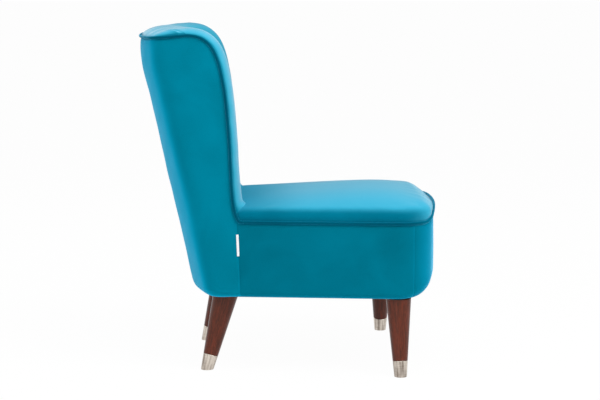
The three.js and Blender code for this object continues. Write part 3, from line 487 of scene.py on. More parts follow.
def satin_nickel(name):
    """Spun and brushed nickel plate under a warm satin shine: fine rings round the foot, 0.3 mm apart,
    drawn at 0.6 mm, upright light and dark streaks about 8 mm apart, and smudges about 17 mm across."""
    material = new_material(name)
    place = add_node(material, "ShaderNodeTexCoord").outputs["Object"]
    rings = add_node(material, "ShaderNodeMapping", {"Scale": (0.03, 0.03, 1.0)}, {"Vector": place})
    brushing = add_node(material, "ShaderNodeTexNoise", {"Scale": 1600.0, "Detail": 3.0}, {"Vector": rings})
    turned = add_node(material, "ShaderNodeAttribute", {"attribute_name": "turned_place"}).outputs["Vector"]
    upright = add_node(material, "ShaderNodeMapping", {"Scale": (1.0, 1.0, 0.04)}, {"Vector": turned})
    streaks = add_node(material, "ShaderNodeTexNoise", {"Scale": 130.0, "Detail": 3.0}, {"Vector": upright})
    smudges = add_node(material, "ShaderNodeTexNoise", {"Scale": 60.0, "Detail": 3.0}, {"Vector": place})
    streaks_and_brushing = add_node(material, "ShaderNodeMix", {"data_type": "FLOAT", "Factor": 0.25},
                    {"A": streaks, "B": brushing})
    colour = add_node(material, "ShaderNodeValToRGB", {"stops": ((0.38, 0x85796F), (0.58, 0xD8CEC2))},
                      {"Fac": streaks_and_brushing})
    gloss = add_node(material, "ShaderNodeMapRange", {"To Min": 0.27, "To Max": 0.45}, {"Value": smudges})
    relief = add_node(material, "ShaderNodeBump", {"Strength": 0.12, "Distance": 0.0001},
                      {"Height": brushing})
    shader = add_node(material, "ShaderNodeBsdfPrincipled", {"Metallic": 1.0},
                      {"Base Color": colour, "Roughness": gloss, "Normal": relief})
    add_node(material, "ShaderNodeOutputMaterial", links={"Surface": shader})
    return material


def sawn_wood(name, dark, light):
    """Unfinished sawn timber: dry and pale, with straight grain across the chair, rings about 4 mm
    apart, and saw marks."""
    material = new_material(name)
    place = add_node(material, "ShaderNodeTexCoord").outputs["Object"]
    grain = add_node(material, "ShaderNodeMapping", {"Scale": (0.08, 1.0, 1.0)}, {"Vector": place})
    rings = add_node(material, "ShaderNodeTexNoise", {"Scale": 260.0, "Detail": 4.0, "Distortion": 0.6},
                     {"Vector": grain})
    colour = add_node(material, "ShaderNodeValToRGB", {"stops": ((0.35, dark), (0.65, light))},
                      {"Fac": rings})
    relief = add_node(material, "ShaderNodeBump", {"Strength": 0.3, "Distance": 0.0003}, {"Height": rings})
    shader = add_node(material, "ShaderNodeBsdfPrincipled", {"Roughness": 0.78, "IOR": 1.45},
                      {"Base Color": colour, "Normal": relief})
    add_node(material, "ShaderNodeOutputMaterial", links={"Surface": shader})
    return material


def pressed_sheet(name, dark, light, grains_per_metre):
    """Card, spun cloth or foam: a dull, slightly mottled face of matted fibres or open cells. They are
    0.7 to 1.1 mm apart, given as how many there are to the metre, and the mottling is about 12 mm."""
    material = new_material(name)
    place = add_node(material, "ShaderNodeTexCoord").outputs["Object"]
    fibres = add_node(material, "ShaderNodeTexVoronoi", {"Scale": grains_per_metre, "Randomness": 1.0},
                      {"Vector": place})
    mottle = add_node(material, "ShaderNodeTexNoise", {"Scale": 80.0, "Detail": 4.0}, {"Vector": place})
    colour = add_node(material, "ShaderNodeValToRGB", {"stops": ((0.35, dark), (0.65, light))},
                      {"Fac": mottle})
    relief = add_node(material, "ShaderNodeBump", {"Strength": 0.4, "Distance": 0.0004}, {"Height": fibres})
    shader = add_node(material, "ShaderNodeBsdfPrincipled", {"Roughness": 0.92, "Specular IOR Level": 0.25},
                      {"Base Color": colour, "Normal": relief})
    add_node(material, "ShaderNodeOutputMaterial", links={"Surface": shader})
    return material


def woven_tape(name, dark, light, threads_per_metre):
    """Plain-woven tape: threads over and under in both directions, with a faint sheen. They are 0.4 mm
    apart in the tag and 1.1 mm in the webbing, given as how many there are to the metre."""
    material = new_material(name)
    place = add_node(material, "ShaderNodeTexCoord").outputs["Object"]
    warp, weft = (
        add_node(material, "ShaderNodeTexWave", {
            "wave_type": "BANDS", "bands_direction": direction, "Scale": threads_per_metre / 6.28,
            "Distortion": 0.6, "Detail": 1.0}, {"Vector": place}).outputs["Fac"]
        for direction in ("Z", "DIAGONAL"))
    weave = add_node(material, "ShaderNodeMath", {"operation": "MAXIMUM"}, {0: warp, 1: weft})
    colour = add_node(material, "ShaderNodeValToRGB", {"stops": ((0.2, dark), (0.8, light))}, {"Fac": weave})
    relief = add_node(material, "ShaderNodeBump", {"Strength": 0.35, "Distance": 0.0002}, {"Height": weave})
    shader = add_node(material, "ShaderNodeBsdfPrincipled", {"Roughness": 0.8, "Sheen Weight": 0.2},
                      {"Base Color": colour, "Normal": relief})
    add_node(material, "ShaderNodeOutputMaterial", links={"Surface": shader})
    return material


def plated_steel(name):
    """Zinc-plated steel wire and fasteners: grey, with a soft shine and mottling about 4 mm across."""
    material = new_material(name)
    place = add_node(material, "ShaderNodeTexCoord").outputs["Object"]
    mottle = add_node(material, "ShaderNodeTexNoise", {"Scale": 240.0, "Detail": 4.0}, {"Vector": place})
    colour = add_node(material, "ShaderNodeValToRGB", {"stops": ((0.35, 0x7C8084), (0.65, 0xA2A6AA))},
                      {"Fac": mottle})
    gloss = add_node(material, "ShaderNodeMapRange", {"To Min": 0.32, "To Max": 0.52}, {"Value": mottle})
    shader = add_node(material, "ShaderNodeBsdfPrincipled", {"Metallic": 1.0},
                      {"Base Color": colour, "Roughness": gloss})
    add_node(material, "ShaderNodeOutputMaterial", links={"Surface": shader})
    return material


# The third colour of each velvet is its painted sheen colour, and the fourth is the shader's sheen tint.
teal_velvet = cut_velvet("teal cotton velvet", 0x006C82, 0x007E98, 0x00A0C6, 0x80D0F4)
# The seat band's copy is painted darker, with a weaker painted sheen, for the shade on its upright faces.
shaded_band_velvet = cut_velvet("teal cotton velvet, painted shade on the band", 0x006074, 0x007087, 0x008AAC, 0x78CAEE)
# The inside back's copy has a brighter painted sheen colour, and painted shade that darkens it towards the
# far side (+X).
inside_velvet = cut_velvet("teal cotton velvet, painted shade on the far side", 0x00667C, 0x007892, 0x38AAC8, 0xE6F4FC,
                           ("X", -0.14, 0.22))
# The seat's copy has painted shade towards the back, where the back and the wings shade the cushion.
seat_velvet = cut_velvet("teal cotton velvet, painted shade near the back", 0x005E76, 0x006E88, 0x36A8C8, 0xD4EEFA,
                         ("Y", -0.06, 0.13))
# The cords' copy is painted darker for the shade on and beside them.
shaded_cord_velvet = cut_velvet("teal velvet on the bias, painted darker for shade", 0x00465A, 0x00546A, 0x006C86, 0x80C8E8)
leg_wood = stained_hardwood("walnut-stained hardwood")
ferrule_metal = satin_nickel("satin nickel plate")
tag_tape = woven_tape("white woven tape", 0xD9DADC, 0xF2F2F3, 2400)

slot_materials = {
    "velvet": teal_velvet,
    "velvet_cord": shaded_cord_velvet,
    "stained_wood": leg_wood,
    "nickel": ferrule_metal,
    "tag": tag_tape,
    "frame_wood": sawn_wood("sawn softwood", 0xB08A58, 0xD6B684),
    "plywood": sawn_wood("birch plywood", 0xA88450, 0xCBAA76),
    "card": pressed_sheet("pressed upholstery card", 0x7C6C4E, 0x9A8A68, 900),
    "foam": pressed_sheet("open-cell polyurethane foam", 0xE0D494, 0xF0E6B4, 1400),
    "cloth": pressed_sheet("black spun-bonded cloth", 0x1D1D1F, 0x303033, 1100),
    "webbing": woven_tape("elastic webbing", 0x2A2926, 0x4A4842, 900),
    "steel": plated_steel("zinc-plated steel"),
}
for subpart in frame["record"]["subparts"]:
    for material_slot in frame["nodes"][subpart["node"]].material_slots:
        material_slot.material = slot_materials[subpart["material_slot"]]


# Outside covers

CORD_DIP = 2.9
CORD_SPREAD = 3.2
ALLOWANCE = 4.5
SEAM_DIP = 0.8
SEAM_SPREAD = 2.4
PADDING = 1.2
PADDING_PASSES = 44
PADDING_ROWS = (3, 14)
PADDING_EDGE = (2, 60)
TURN_STEPS = 16
UNDER_SHARES = (0.3, 0.65, 1)


def cord_dip(distance):
    """How far a cover dips in at a distance from the middle of a cord: fully behind the cord itself."""
    return CORD_DIP * np.exp(-np.maximum(0, np.abs(distance) - CORD_RADIUS) / CORD_SPREAD)


def seam_dip(distance):
    """How far a cover dips in towards a plain seam at a distance from it."""
    return SEAM_DIP * np.exp(-np.abs(distance) / SEAM_SPREAD)


def allowances(grid, normals, edges):
    """Adds a row (axis 0) or a column (axis 1) that turns in behind the seam at each edge of a grid,
    given as its axis and whether it is the first."""
    for axis, first in edges:
        edge, neighbour = (0, 1) if first else (-1, -2)
        seam, facing = np.take(grid, edge, axis), np.take(normals, edge, axis)
        onward = unit(seam - np.take(grid, neighbour, axis))
        turned = np.expand_dims(seam + (onward - facing) * ALLOWANCE, axis)
        facing = np.expand_dims(facing, axis)
        grid = np.concatenate([turned, grid] if first else [grid, turned], axis)
        normals = np.concatenate([facing, normals] if first else [normals, facing], axis)
    return grid, normals


def lifted(outline, z, inset=0):
    """Points of an outline at a height, or at heights z, moved in by inset."""
    x = outline[:, 0] - outline[:, 2] * inset
    y = outline[:, 1] - outline[:, 3] * inset
    return np.stack([x, y, np.broadcast_to(z, x.shape)], axis=1)


def turned_under(outline_at):
    """The rows that turn under the chair, as their outline, height and inset. Their outline is given
    at a rise above its lowest place."""
    steps = []
    for angle in np.linspace(math.pi / 2, 0, TURN_STEPS):
        risen = 1 - math.cos(angle)
        outline = outline_at(BACK_TUCK_RADIUS * risen)
        radius = tuck_radius(outline)
        steps.append((outline, PANEL_BOTTOM + radius * risen, radius * (1 - math.sin(angle))))
    for share in UNDER_SHARES:
        steps.append((outline, PANEL_BOTTOM + UNDER_LIFT, radius + TURN_UNDER * share))
    return steps


BACK_COUNTS = (22, 22, 22)
BACK_SHARES = np.linspace(0, 1, 46)[:-1]


def back_rows():
    """The outside back as rows of points from the rim down and under the chair."""
    rows = []
    foot = back_outline(SEAT_EDGE_HEIGHT, SEAM_HEAD_Y, BACK_COUNTS)
    for y, z, _, _ in wing[::-1]:
        outline = back_outline(z, max(y, SEAM_HEAD_Y - SEAM_LAP), BACK_COUNTS)
        upper_half = smoothstep(z, SEAT_EDGE_HEIGHT + BACK_RISE / 2, WING_TOP_Z)
        fall = RIM_FALL * (outline[:, 1] - y) * upper_half
        rows.append(lifted(outline, z - np.maximum(0, fall)))
    under_cord = SEAT_EDGE_HEIGHT - CORD_RADIUS
    tuck_top = PANEL_BOTTOM + tuck_radius(foot)
    for share in BACK_SHARES:
        seam_y = SEAM_HEAD_Y + (SEAM_FOOT_Y - SEAM_HEAD_Y) * share
        z = under_cord + (tuck_top - under_cord) * share
        outline = back_outline(SEAT_EDGE_HEIGHT, seam_y, BACK_COUNTS)
        rake = (z - SEAT_EDGE_HEIGHT) * BACK_RAKE * smoothstep(outline[:, 1], seam_y, BACK_SEAT_Y)
        points = lifted(outline, z)
        points[:, 1] += rake
        rows.append(points)
    under = turned_under(lambda rise: back_outline(PANEL_BOTTOM + rise, SEAM_FOOT_Y, BACK_COUNTS))
    return np.array(rows + [lifted(*step) for step in under])


def gathered(grid, normals, along, from_seam, puckers, pulls):
    """Raises small puckers at a seam and longer pulls a little way in from it. Puckers are given as
    their height, wave lengths, seed and reach, and pulls as the same with where they are strongest."""
    pucker_height, waves, seed, reach = puckers
    small = ripples(along, from_seam, waves, seed) * np.exp(-np.abs(from_seam) / reach)
    pull_height, waves, seed, strongest, reach = pulls
    large = ripples(along, from_seam, waves, seed) * np.exp(-((from_seam - strongest) / reach) ** 2)
    return grid + normals * (pucker_height * small + pull_height * large)[..., None]


def wander(grid, normals, amount, size, seed):
    """Moves a cover in and out a little, as wadding under it does."""
    x, y, z = (grid[..., axis] for axis in range(3))
    swell = ripples(x * 0.8 + z, y, (size, size * 0.62, size * 0.41), seed)
    swell = swell + ripples(y - 0.6 * z, x, (size * 0.9, size * 0.53), seed + 1)
    return grid + normals * (amount * swell)[..., None]


# Padding rounds the rear corners, except in the rows close to the rim's cord
outside = back_rows()
padded_rows = smoothstep(np.arange(len(outside)), *PADDING_ROWS)[:, None]
outside = outside + (eased(outside, PADDING_PASSES) - outside) * padded_rows[..., None]
outside_normals = surface_normals(outside, outward_from=(0, 100, 500))
down = running_lengths(outside, 0)
side_distance = from_sides(outside)
outside = wander(outside, outside_normals, amount=0.8, size=210, seed=11)
fullness = PADDING * smoothstep(side_distance, *PADDING_EDGE) * padded_rows
outside = outside + outside_normals * fullness[..., None]
corded = smoothstep(outside[..., 2], SEAT_EDGE_HEIGHT - CORD_RADIUS, SEAT_EDGE_HEIGHT - 0.5)
side_dip = seam_dip(side_distance) + (cord_dip(side_distance) - seam_dip(side_distance)) * corded
outside = outside - outside_normals * (side_dip + cord_dip(down))[..., None]
outside, _ = allowances(outside, outside_normals, ((0, True), (1, True), (1, False)))
outside_back = cover("outside_back", outside, teal_velvet, outward=(0, 1, 0))
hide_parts("outside_back_cover")


# Seat band: the two sides and the front

FRONT_COUNTS = (70, 26, 30)
# Shares of the band's height, close together behind the cord
BAND_SHARES = np.concatenate([[0, 0.01, 0.02, 0.03, 0.04, 0.055], np.linspace(0.08, 1, 40)[:-1]])


def seat_rows():
    """The seat's sides and front as rows of points from behind the cord down and under the chair, and
    how far round from the middle of the front each point is."""
    steps = []
    for share in BAND_SHARES:
        outline = front_outline(SEAM_HEAD_Y + (SEAM_FOOT_Y - SEAM_HEAD_Y) * share, FRONT_COUNTS)
        lip = seat_lip(outline)
        steps.append((outline, lip + (PANEL_BOTTOM + tuck_radius(outline) - lip) * share, 0))
    steps += turned_under(lambda rise: front_outline(SEAM_FOOT_Y, FRONT_COUNTS))
    rows = np.array([lifted(*step) for step in steps])
    lengths = np.array([running_lengths(outline[:, :2]) for outline, _, _ in steps])
    return rows, lengths - lengths[:, -1:] / 2


band, band_places = seat_rows()
band_normals = surface_normals(band, outward_from=(0, -100, 300))
band_down = running_lengths(band, 0)
half_way = band.shape[1] // 2
right_seam = np.interp(-BAND_SEAM_Y, -band[0, :half_way, 1], band_places[0, :half_way])
band = wander(band, band_normals, amount=0.7, size=190, seed=23)
# The dip under the seat cord ends where that cord meets the back's
beside_cord = 1 - smoothstep(band[..., 1], CORDS_MEET_Y + 3, WING_FRONT_Y + 3)
band = band - band_normals * (cord_dip(band_down) * beside_cord)[..., None]


def seat_panel(name, node, starts, ends, outward, count):
    """A panel of the seat band between two upright seams, given as places on each row. Its upright
    edges dip in."""
    panel, facing = [], []
    for row, normals, keys, start, end in zip(band, band_normals, band_places, starts, ends):
        places = crowded(count, start, end)
        dip = seam_dip(np.minimum(places - start, end - places))
        facing.append(resampled(normals, places, keys))
        panel.append(resampled(row, places, keys) - facing[-1] * dip[:, None])
    panel, _ = allowances(np.array(panel), np.array(facing), ((0, True), (1, True), (1, False)))
    piece = cover(name, panel, shaded_band_velvet, outward)
    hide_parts(node)


front_seam = np.full(len(band), right_seam)
seat_panel("right_side_panel", "side_panel_right", band_places[:, 0], front_seam,
           outward=(-1, 0, 0), count=80)
seat_panel("front_panel", "front_band", front_seam, -front_seam, outward=(0, -1, 0), count=150)
seat_panel("left_side_panel", "side_panel_left", -front_seam, band_places[:, -1],
           outward=(1, 0, 0), count=80)


# Seat cushion

CUSHION_FRONT_COUNTS = (60, 26, 34)
CUSHION_REAR_COUNTS = (2, 14, 30)
EDGE_STEPS = 20
TOP_STEPS = 32
# The flat face that closes the cushion in the middle, as a share of its plan
MIDDLE_FACE = 0.012


def cushion_outline():
    """The cushion's plan from its right side round the front and back along the rear."""
    rear = end_outline(SEAT_BACK_Y, SEAT_SIDE_END_Y, SEAT_BACK_CORNER_RADIUS, SEAT_BACK_BOW_RADIUS, 1,
                       CUSHION_REAR_COUNTS)
    front = front_outline(SEAT_SIDE_END_Y, CUSHION_FRONT_COUNTS)
    return np.concatenate([front[1:-1], rear[2:-2][::-1]])


def crown_rise(x, y):
    """How far the seat's top swells above its edge at a place in plan."""
    across = np.minimum(1, np.abs(x) / side_half_width(y))
    ahead = np.clip((SEAT_CROWN_Y - y) / (SEAT_CROWN_Y - SEAT_FRONT_Y), 0, 1)
    behind = np.clip((y - SEAT_CROWN_Y) / (SEAT_CROWN_REAR - SEAT_CROWN_Y), 0, 1)
    fall = ahead ** SEAT_CROWN_POWER + behind ** SEAT_FALL_POWER
    return SEAT_DOME * (1 - across ** SEAT_CROWN_POWER) * (1 - fall)


def cushion_grid():
    """The cushion as rings from inside its cord, over its rounded edge and in to its middle."""
    outline = cushion_outline()
    lip = seat_lip(outline)
    arch = arch_share(outline)
    roundness = SEAT_SIDE_ROUNDNESS + (SEAT_FRONT_ROUNDNESS - SEAT_SIDE_ROUNDNESS) * arch
    power = 1 / SEAT_SIDE_ROUNDNESS + (SEAT_FRONT_POWER - 1 / SEAT_SIDE_ROUNDNESS) * arch
    centre_y = (SEAT_FRONT_Y + SEAT_SIDE_END_Y) / 2
    edge_share = SEAT_EDGE_SHARE + (SEAT_FRONT_SHARE - SEAT_EDGE_SHARE) * arch
    turns = np.linspace(0, math.pi / 2, EDGE_STEPS)
    shares = np.concatenate([SEAT_EDGE_SHARE + (1 - SEAT_EDGE_SHARE) * np.cos(turns),
                             np.linspace(SEAT_EDGE_SHARE, MIDDLE_FACE, TOP_STEPS)[1:]])
    rings = [lifted(outline, lip - SKIRT)]
    for share in shares:
        edge = np.maximum(0, (share - edge_share) / (1 - edge_share))
        x = outline[:, 0] * share
        y = centre_y + (outline[:, 1] - centre_y) * share
        base = SEAT_EDGE_HEIGHT + (lip - SEAT_EDGE_HEIGHT) * share ** SEAT_ARCH_POWER
        z = base + SEAT_EDGE_RISE * np.maximum(0, 1 - edge ** roundness) ** power + crown_rise(x, y)
        rings.append(np.stack([x, y, z], axis=1))
    return np.array(rings), outline


cushion, cushion_plan = cushion_grid()
round_cushion = running_lengths(cushion_plan[:, :2])
from_cord = running_lengths(cushion, 0) - SKIRT
closed_cushion = np.concatenate([cushion[:, -1:], cushion, cushion[:, :1]], axis=1)
cushion_normals = surface_normals(closed_cushion, outward_from=(0, -138, 330))[:, 1:-1]
cushion = gathered(cushion, cushion_normals, round_cushion[None, :], from_cord,
                   puckers=(0.45, (23, 14, 9.5), 31, 14), pulls=(0.5, (74, 47), 37, 40, 45))
cushion = cushion - cushion_normals * cord_dip(from_cord)[..., None]
rows, columns, _ = cushion.shape
cushion_faces = grid_faces(rows, columns, closed=True)
cushion_faces.append(tuple((rows - 1) * columns + column for column in range(columns)))
cushion_faces = [tuple(reversed(face)) for face in cushion_faces]
seat_cushion = make_piece("seat_cushion", cushion.reshape(-1, 3), cushion_faces, seat_velvet)
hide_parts("seat_cover", "seat_foam")


# Inside back

MIDDLE_STEPS = 51
CREST_STEPS = 30
RIM_COUNTS = (12, 22, 30)


def hollow_profile(share):
    """How deep the hollow is across the back: 1 in the middle, 0 where the rolls begin."""
    inner = np.minimum(1, np.abs(share) / (1 - ROLL_SHARE))
    return (1 + np.cos(math.pi * inner)) / 2


def roll_profile(share):
    """How full the padding is across the back: 1 between the rolls, falling to 0 at the cords."""
    edge = np.maximum(0, (np.abs(share) - (1 - ROLL_SHARE)) / ROLL_SHARE)
    return np.maximum(0, 1 - edge ** ROLL_POWER) ** (1 / ROLL_POWER)


def inside_back_grid():
    """The inside back as rows from its foot up the wings and over the crest to the rim."""
    turns = np.linspace(0, math.pi / 2, EDGE_STEPS, endpoint=False)
    roll = 1 - ROLL_SHARE + ROLL_SHARE * np.cos(turns)
    middle = np.linspace(-(1 - ROLL_SHARE), 1 - ROLL_SHARE, MIDDLE_STEPS)
    shares = np.concatenate([-roll, middle, roll[::-1]])
    hollow = BACK_HOLLOW * hollow_profile(shares)
    rolled = roll_profile(shares)

    def row_across(y, z, forward=0):
        """A row from side to side at y, with the hollow between."""
        x = shares * side_half_width(y)
        return np.stack([x, y + forward + hollow, np.broadcast_to(z, x.shape)], axis=1)

    rows = [row_across(WING_FRONT_Y, SEAT_EDGE_HEIGHT - SKIRT)]
    for y, z, ny, nz in wing:
        rise = z - SEAT_EDGE_HEIGHT
        spread = SPREAD_ROLL * math.exp(-((rise - LOBE_HEIGHT) / SPREAD_REACH) ** 2)
        lobe = LOBE_ROLL * math.exp(-((rise - LOBE_HEIGHT) / LOBE_REACH) ** 2)
        under = max(0, 1 - rise / LOBE_HEIGHT)
        roll = RIM_ROLL + (CREST_ROLL - RIM_ROLL) * max(0, nz) ** 2
        depth = (roll + spread + lobe) * math.sqrt(max(0, 1 - under ** 2)) * rolled
        rows.append(row_across(y, z + nz * depth, ny * depth))
    rim = rim_outline(RIM_COUNTS)
    rim_lengths = running_lengths(rim[:, :3])
    places = (shares + 1) / 2 * rim_lengths[-1]
    rim_points = resampled(rim[:, :3], places, rim_lengths)
    start = row_across(WING_TOP_Y, WING_TOP_Z)
    for turn in np.linspace(0, math.pi / 2, CREST_STEPS)[1:]:
        share = (1 - math.cos(turn) + math.sin(turn)) / 2
        fade = max(0, (share - CREST_FRONT_SHARE) / (1 - CREST_FRONT_SHARE))
        points = start + (rim_points - start) * share
        points[:, 2] += CREST_ROLL * (1 - fade ** CREST_POWER) ** 0.75 * rolled
        rows.append(points)
    return np.array(rows)


# The pleat's ends in plan, and the heights between which it fades in
PLEAT_HEAD = np.array([-152.0, 302.0])
PLEAT_FOOT = np.array([-203.0, 268.0])
PLEAT_DEPTH = 3.0
PLEAT_WIDTH = 4.0
CREST_HEIGHTS = (790, 820)


def crest_pleat(grid):
    """A small pleat in the crest, where the cover is drawn round the corner: a groove with a raised lip."""
    run = PLEAT_FOOT - PLEAT_HEAD
    length = np.linalg.norm(run)
    from_head = grid[..., :2] - PLEAT_HEAD
    along = from_head @ run / length ** 2
    aside = (from_head[..., 0] * run[1] - from_head[..., 1] * run[0]) / length
    fade = smoothstep(along, -0.15, 0.3) * (1 - smoothstep(along, 0.75, 1.1))
    on_crest = smoothstep(grid[..., 2], *CREST_HEIGHTS)
    groove = np.exp(-(aside / PLEAT_WIDTH) ** 2)
    lip = np.exp(-((aside - 2 * PLEAT_WIDTH) / PLEAT_WIDTH) ** 2)
    return PLEAT_DEPTH * (groove - 0.6 * lip) * fade * on_crest


inside = inside_back_grid()
inside_normals = surface_normals(inside, outward_from=(0, 330, 600))
inside_down = running_lengths(inside, 0)
inside_across = running_lengths(inside, 1)
to_side = from_sides(inside)
to_rim = inside_down[-1:] - inside_down
to_cord = np.minimum(to_side, to_rim)
along_cord = np.where(to_side < to_rim, inside_down, inside_across)
inside = gathered(inside, inside_normals, along_cord, to_cord,
                  puckers=(0.5, (21, 13, 8.7), 41, 11), pulls=(0.8, (81, 52), 43, 30, 34))
inside = inside - inside_normals * (cord_dip(to_cord) + crest_pleat(inside))[..., None]
inside, _ = allowances(inside, inside_normals, ((0, False), (1, True), (1, False)))

# The allowance at the rim hangs down inside the cord, and those at the sides stay inside the wings
rim_inward = unit(np.array([0, 200]) - inside[-2, :, :2])
inside[-1, :, :2] = inside[-2, :, :2] + rim_inward * SEAM_INSET
inside[-1, :, 2] = inside[-2, :, 2] - ALLOWANCE
for column in (0, -1):
    within = side_half_width(inside[:, column, 1]) - SEAM_INSET
    inside[:, column, 0] = np.clip(inside[:, column, 0], -within, within)
inside_back = cover("inside_back", inside, inside_velvet, outward=(0, -1, 0))
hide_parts("inside_back_cover", "back_foam")


# Cords

CORD_STEP = 3.2
CORD_SIDES = 14
CORD_UNEVENNESS = 0.035
# A direction along which no cord runs
NO_CORD_RUNS = (0.13, 0.21, 0.97)


def sewn_cord(name, node, path, seed):
    """A velvet-covered cord along a path, a little uneven, as sewn by hand."""
    lengths = running_lengths(path)
    places = np.arange(0, lengths[-1], CORD_STEP)
    centres = eased(resampled(path, places, lengths), 4)
    tangents = unit(np.gradient(centres, axis=0))
    aside = unit(np.cross(tangents, NO_CORD_RUNS))
    above = np.cross(aside, tangents)
    turns = np.linspace(0, 2 * math.pi, CORD_SIDES, endpoint=False)
    uneven = CORD_RADIUS * (1 + CORD_UNEVENNESS * ripples(places, places * 0, (19, 31, 57), seed))
    rings = centres[:, None] + uneven[:, None, None] * (
        aside[:, None] * np.cos(turns)[None, :, None] + above[:, None] * np.sin(turns)[None, :, None])
    faces = grid_faces(len(rings), CORD_SIDES, closed=True)
    faces.append(tuple(range(CORD_SIDES))[::-1])
    faces.append(tuple((len(rings) - 1) * CORD_SIDES + side for side in range(CORD_SIDES)))
    piece = make_piece(name, rings.reshape(-1, 3), faces, shaded_cord_velvet)
    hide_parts(node)


# The back cord turns level at its foot to meet the seat cord, with a hair's gap between them
CORD_TURN = 15
CORD_TURN_RISE = 12
CORD_GAP = 0.3
side_slope = math.hypot(1, SIDE_FLARE)
cord_foot = np.array([(CORDS_MEET_Y + CORD_TURN * share, SEAT_EDGE_HEIGHT) for share in (0, 0.25, 0.5, 0.75)])
cord_rise = wing[wing[:, 1] > SEAT_EDGE_HEIGHT + CORD_TURN_RISE, :2]
cord_line = np.concatenate([cord_foot, cord_rise])
right_wing = np.stack([
    -side_half_width(cord_line[:, 0]) + CORD_INSET / side_slope,
    cord_line[:, 0] - CORD_INSET * SIDE_FLARE / side_slope,
    cord_line[:, 1],
], axis=1)[:-1]
rim_plan = rim_outline(RIM_COUNTS)
rim_path = lifted(rim_plan[:, [0, 1, 3, 4]], rim_plan[:, 2], CORD_INSET)
left_wing = right_wing[::-1] * np.array([-1, 1, 1])
sewn_cord("back_cord", "back_piping", np.concatenate([right_wing, rim_path, left_wing]), 51)
seat_plan = front_outline(CORDS_MEET_Y - CORD_GAP, FRONT_COUNTS)
sewn_cord("seat_cord", "seat_piping", lifted(seat_plan, seat_lip(seat_plan), CORD_INSET), 53)


# Legs and ferrules

TURNED_SIDES = 72
TURNED_EDGE_DEGREES = 35


def turned_piece(name, node, profile, foot, top, material, low, high):
    """A turned solid on a leg's axis from radius and height points, cut level at low and high."""
    base = Vector((foot[0], foot[1], 0)) * MILLIMETRE
    axis = Vector((top[0] - foot[0], top[1] - foot[1], LEG_HEIGHT)).normalized()
    placement = Matrix.Translation(base) @ axis.to_track_quat("Z", "Y").to_matrix().to_4x4()
    mesh = bmesh.new()
    rings = []
    for radius, height in profile:
        if radius <= 0:
            rings.append([mesh.verts.new((0, 0, height * MILLIMETRE))])
            continue
        rings.append([mesh.verts.new((
            radius * MILLIMETRE * math.cos(2 * math.pi * side / TURNED_SIDES),
            radius * MILLIMETRE * math.sin(2 * math.pi * side / TURNED_SIDES),
            height * MILLIMETRE,
        )) for side in range(TURNED_SIDES)])
    for lower, upper in zip(rings, rings[1:]):
        for side in range(TURNED_SIDES):
            after = (side + 1) % TURNED_SIDES
            corners = [lower[side % len(lower)], lower[after % len(lower)],
                       upper[after % len(upper)], upper[side % len(upper)]]
            kept = [corner for index, corner in enumerate(corners) if corner not in corners[:index]]
            mesh.faces.new(kept)
    back = placement.inverted()
    for height, direction in ((low, -1), (high, 1)):
        plane = back @ Vector((base.x, base.y, height * MILLIMETRE))
        normal = (back.to_3x3() @ Vector((0, 0, direction))).normalized()
        cut = bmesh.ops.bisect_plane(mesh, geom=mesh.verts[:] + mesh.edges[:] + mesh.faces[:],
                                     plane_co=plane, plane_no=normal, clear_outer=True)
        edges = [item for item in cut["geom_cut"] if isinstance(item, bmesh.types.BMEdge)]
        if edges:
            bmesh.ops.contextual_create(mesh, geom=edges)
    bmesh.ops.recalc_face_normals(mesh, faces=mesh.faces)
    data = bpy.data.meshes.new(name)
    mesh.to_mesh(data)
    mesh.free()
    own_place = data.attributes.new("turned_place", "FLOAT_VECTOR", "POINT")
    for vertex, value in zip(data.vertices, own_place.data):
        value.vector = vertex.co
    data.transform(placement)
    data.materials.append(material)
    data.shade_smooth()
    data.set_sharp_from_angle(angle=math.radians(TURNED_EDGE_DEGREES))
    piece = placed(name, data)
    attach(piece, "root")
    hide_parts(node)


# Legs and ferrules are turned over length, and then cut level at the floor and under the seat
LEG_LENGTH = 195
LEG_STOCK = 250
FERRULE_STOCK = -8
# The leg has a tenon in its ferrule, and a shoulder just above it with an eased edge
TENON_START = 8
TENON_GAP = 0.3
FERRULE_FLOOR = 6
# The ferrule's turned lip, as how far each point is inside the leg's line and below the ferrule's top
FERRULE_LIP = ((0.05, 0.5), (0.35, 0.08), (0.8, 0), (FERRULE_WALL, 0.4))


def leg_radius(length):
    return LEG_FOOT_RADIUS + (LEG_TOP_RADIUS - LEG_FOOT_RADIUS) * length / LEG_LENGTH


shoulder = FERRULE_HEIGHT + TENON_GAP
tenon_inset = FERRULE_WALL + TENON_GAP
leg_profile = [
    (0, TENON_START), (leg_radius(TENON_START) - tenon_inset, TENON_START),
    (leg_radius(shoulder) - tenon_inset, shoulder), (leg_radius(shoulder) - 0.5, shoulder),
    (leg_radius(shoulder) + 0.05, shoulder + 0.6),
    *[(leg_radius(height), height) for height in np.linspace(shoulder + 2, LEG_STOCK, 40)],
    (0, LEG_STOCK),
]
ferrule_profile = [
    (0, FERRULE_STOCK), (leg_radius(FERRULE_STOCK), FERRULE_STOCK),
    *[(leg_radius(height), height) for height in np.linspace(-6, FERRULE_HEIGHT - 1.2, 24)],
    *[(leg_radius(FERRULE_HEIGHT) - inward, FERRULE_HEIGHT - drop) for inward, drop in FERRULE_LIP],
    (leg_radius(FERRULE_FLOOR) - FERRULE_WALL, FERRULE_FLOOR), (0, FERRULE_FLOOR),
]
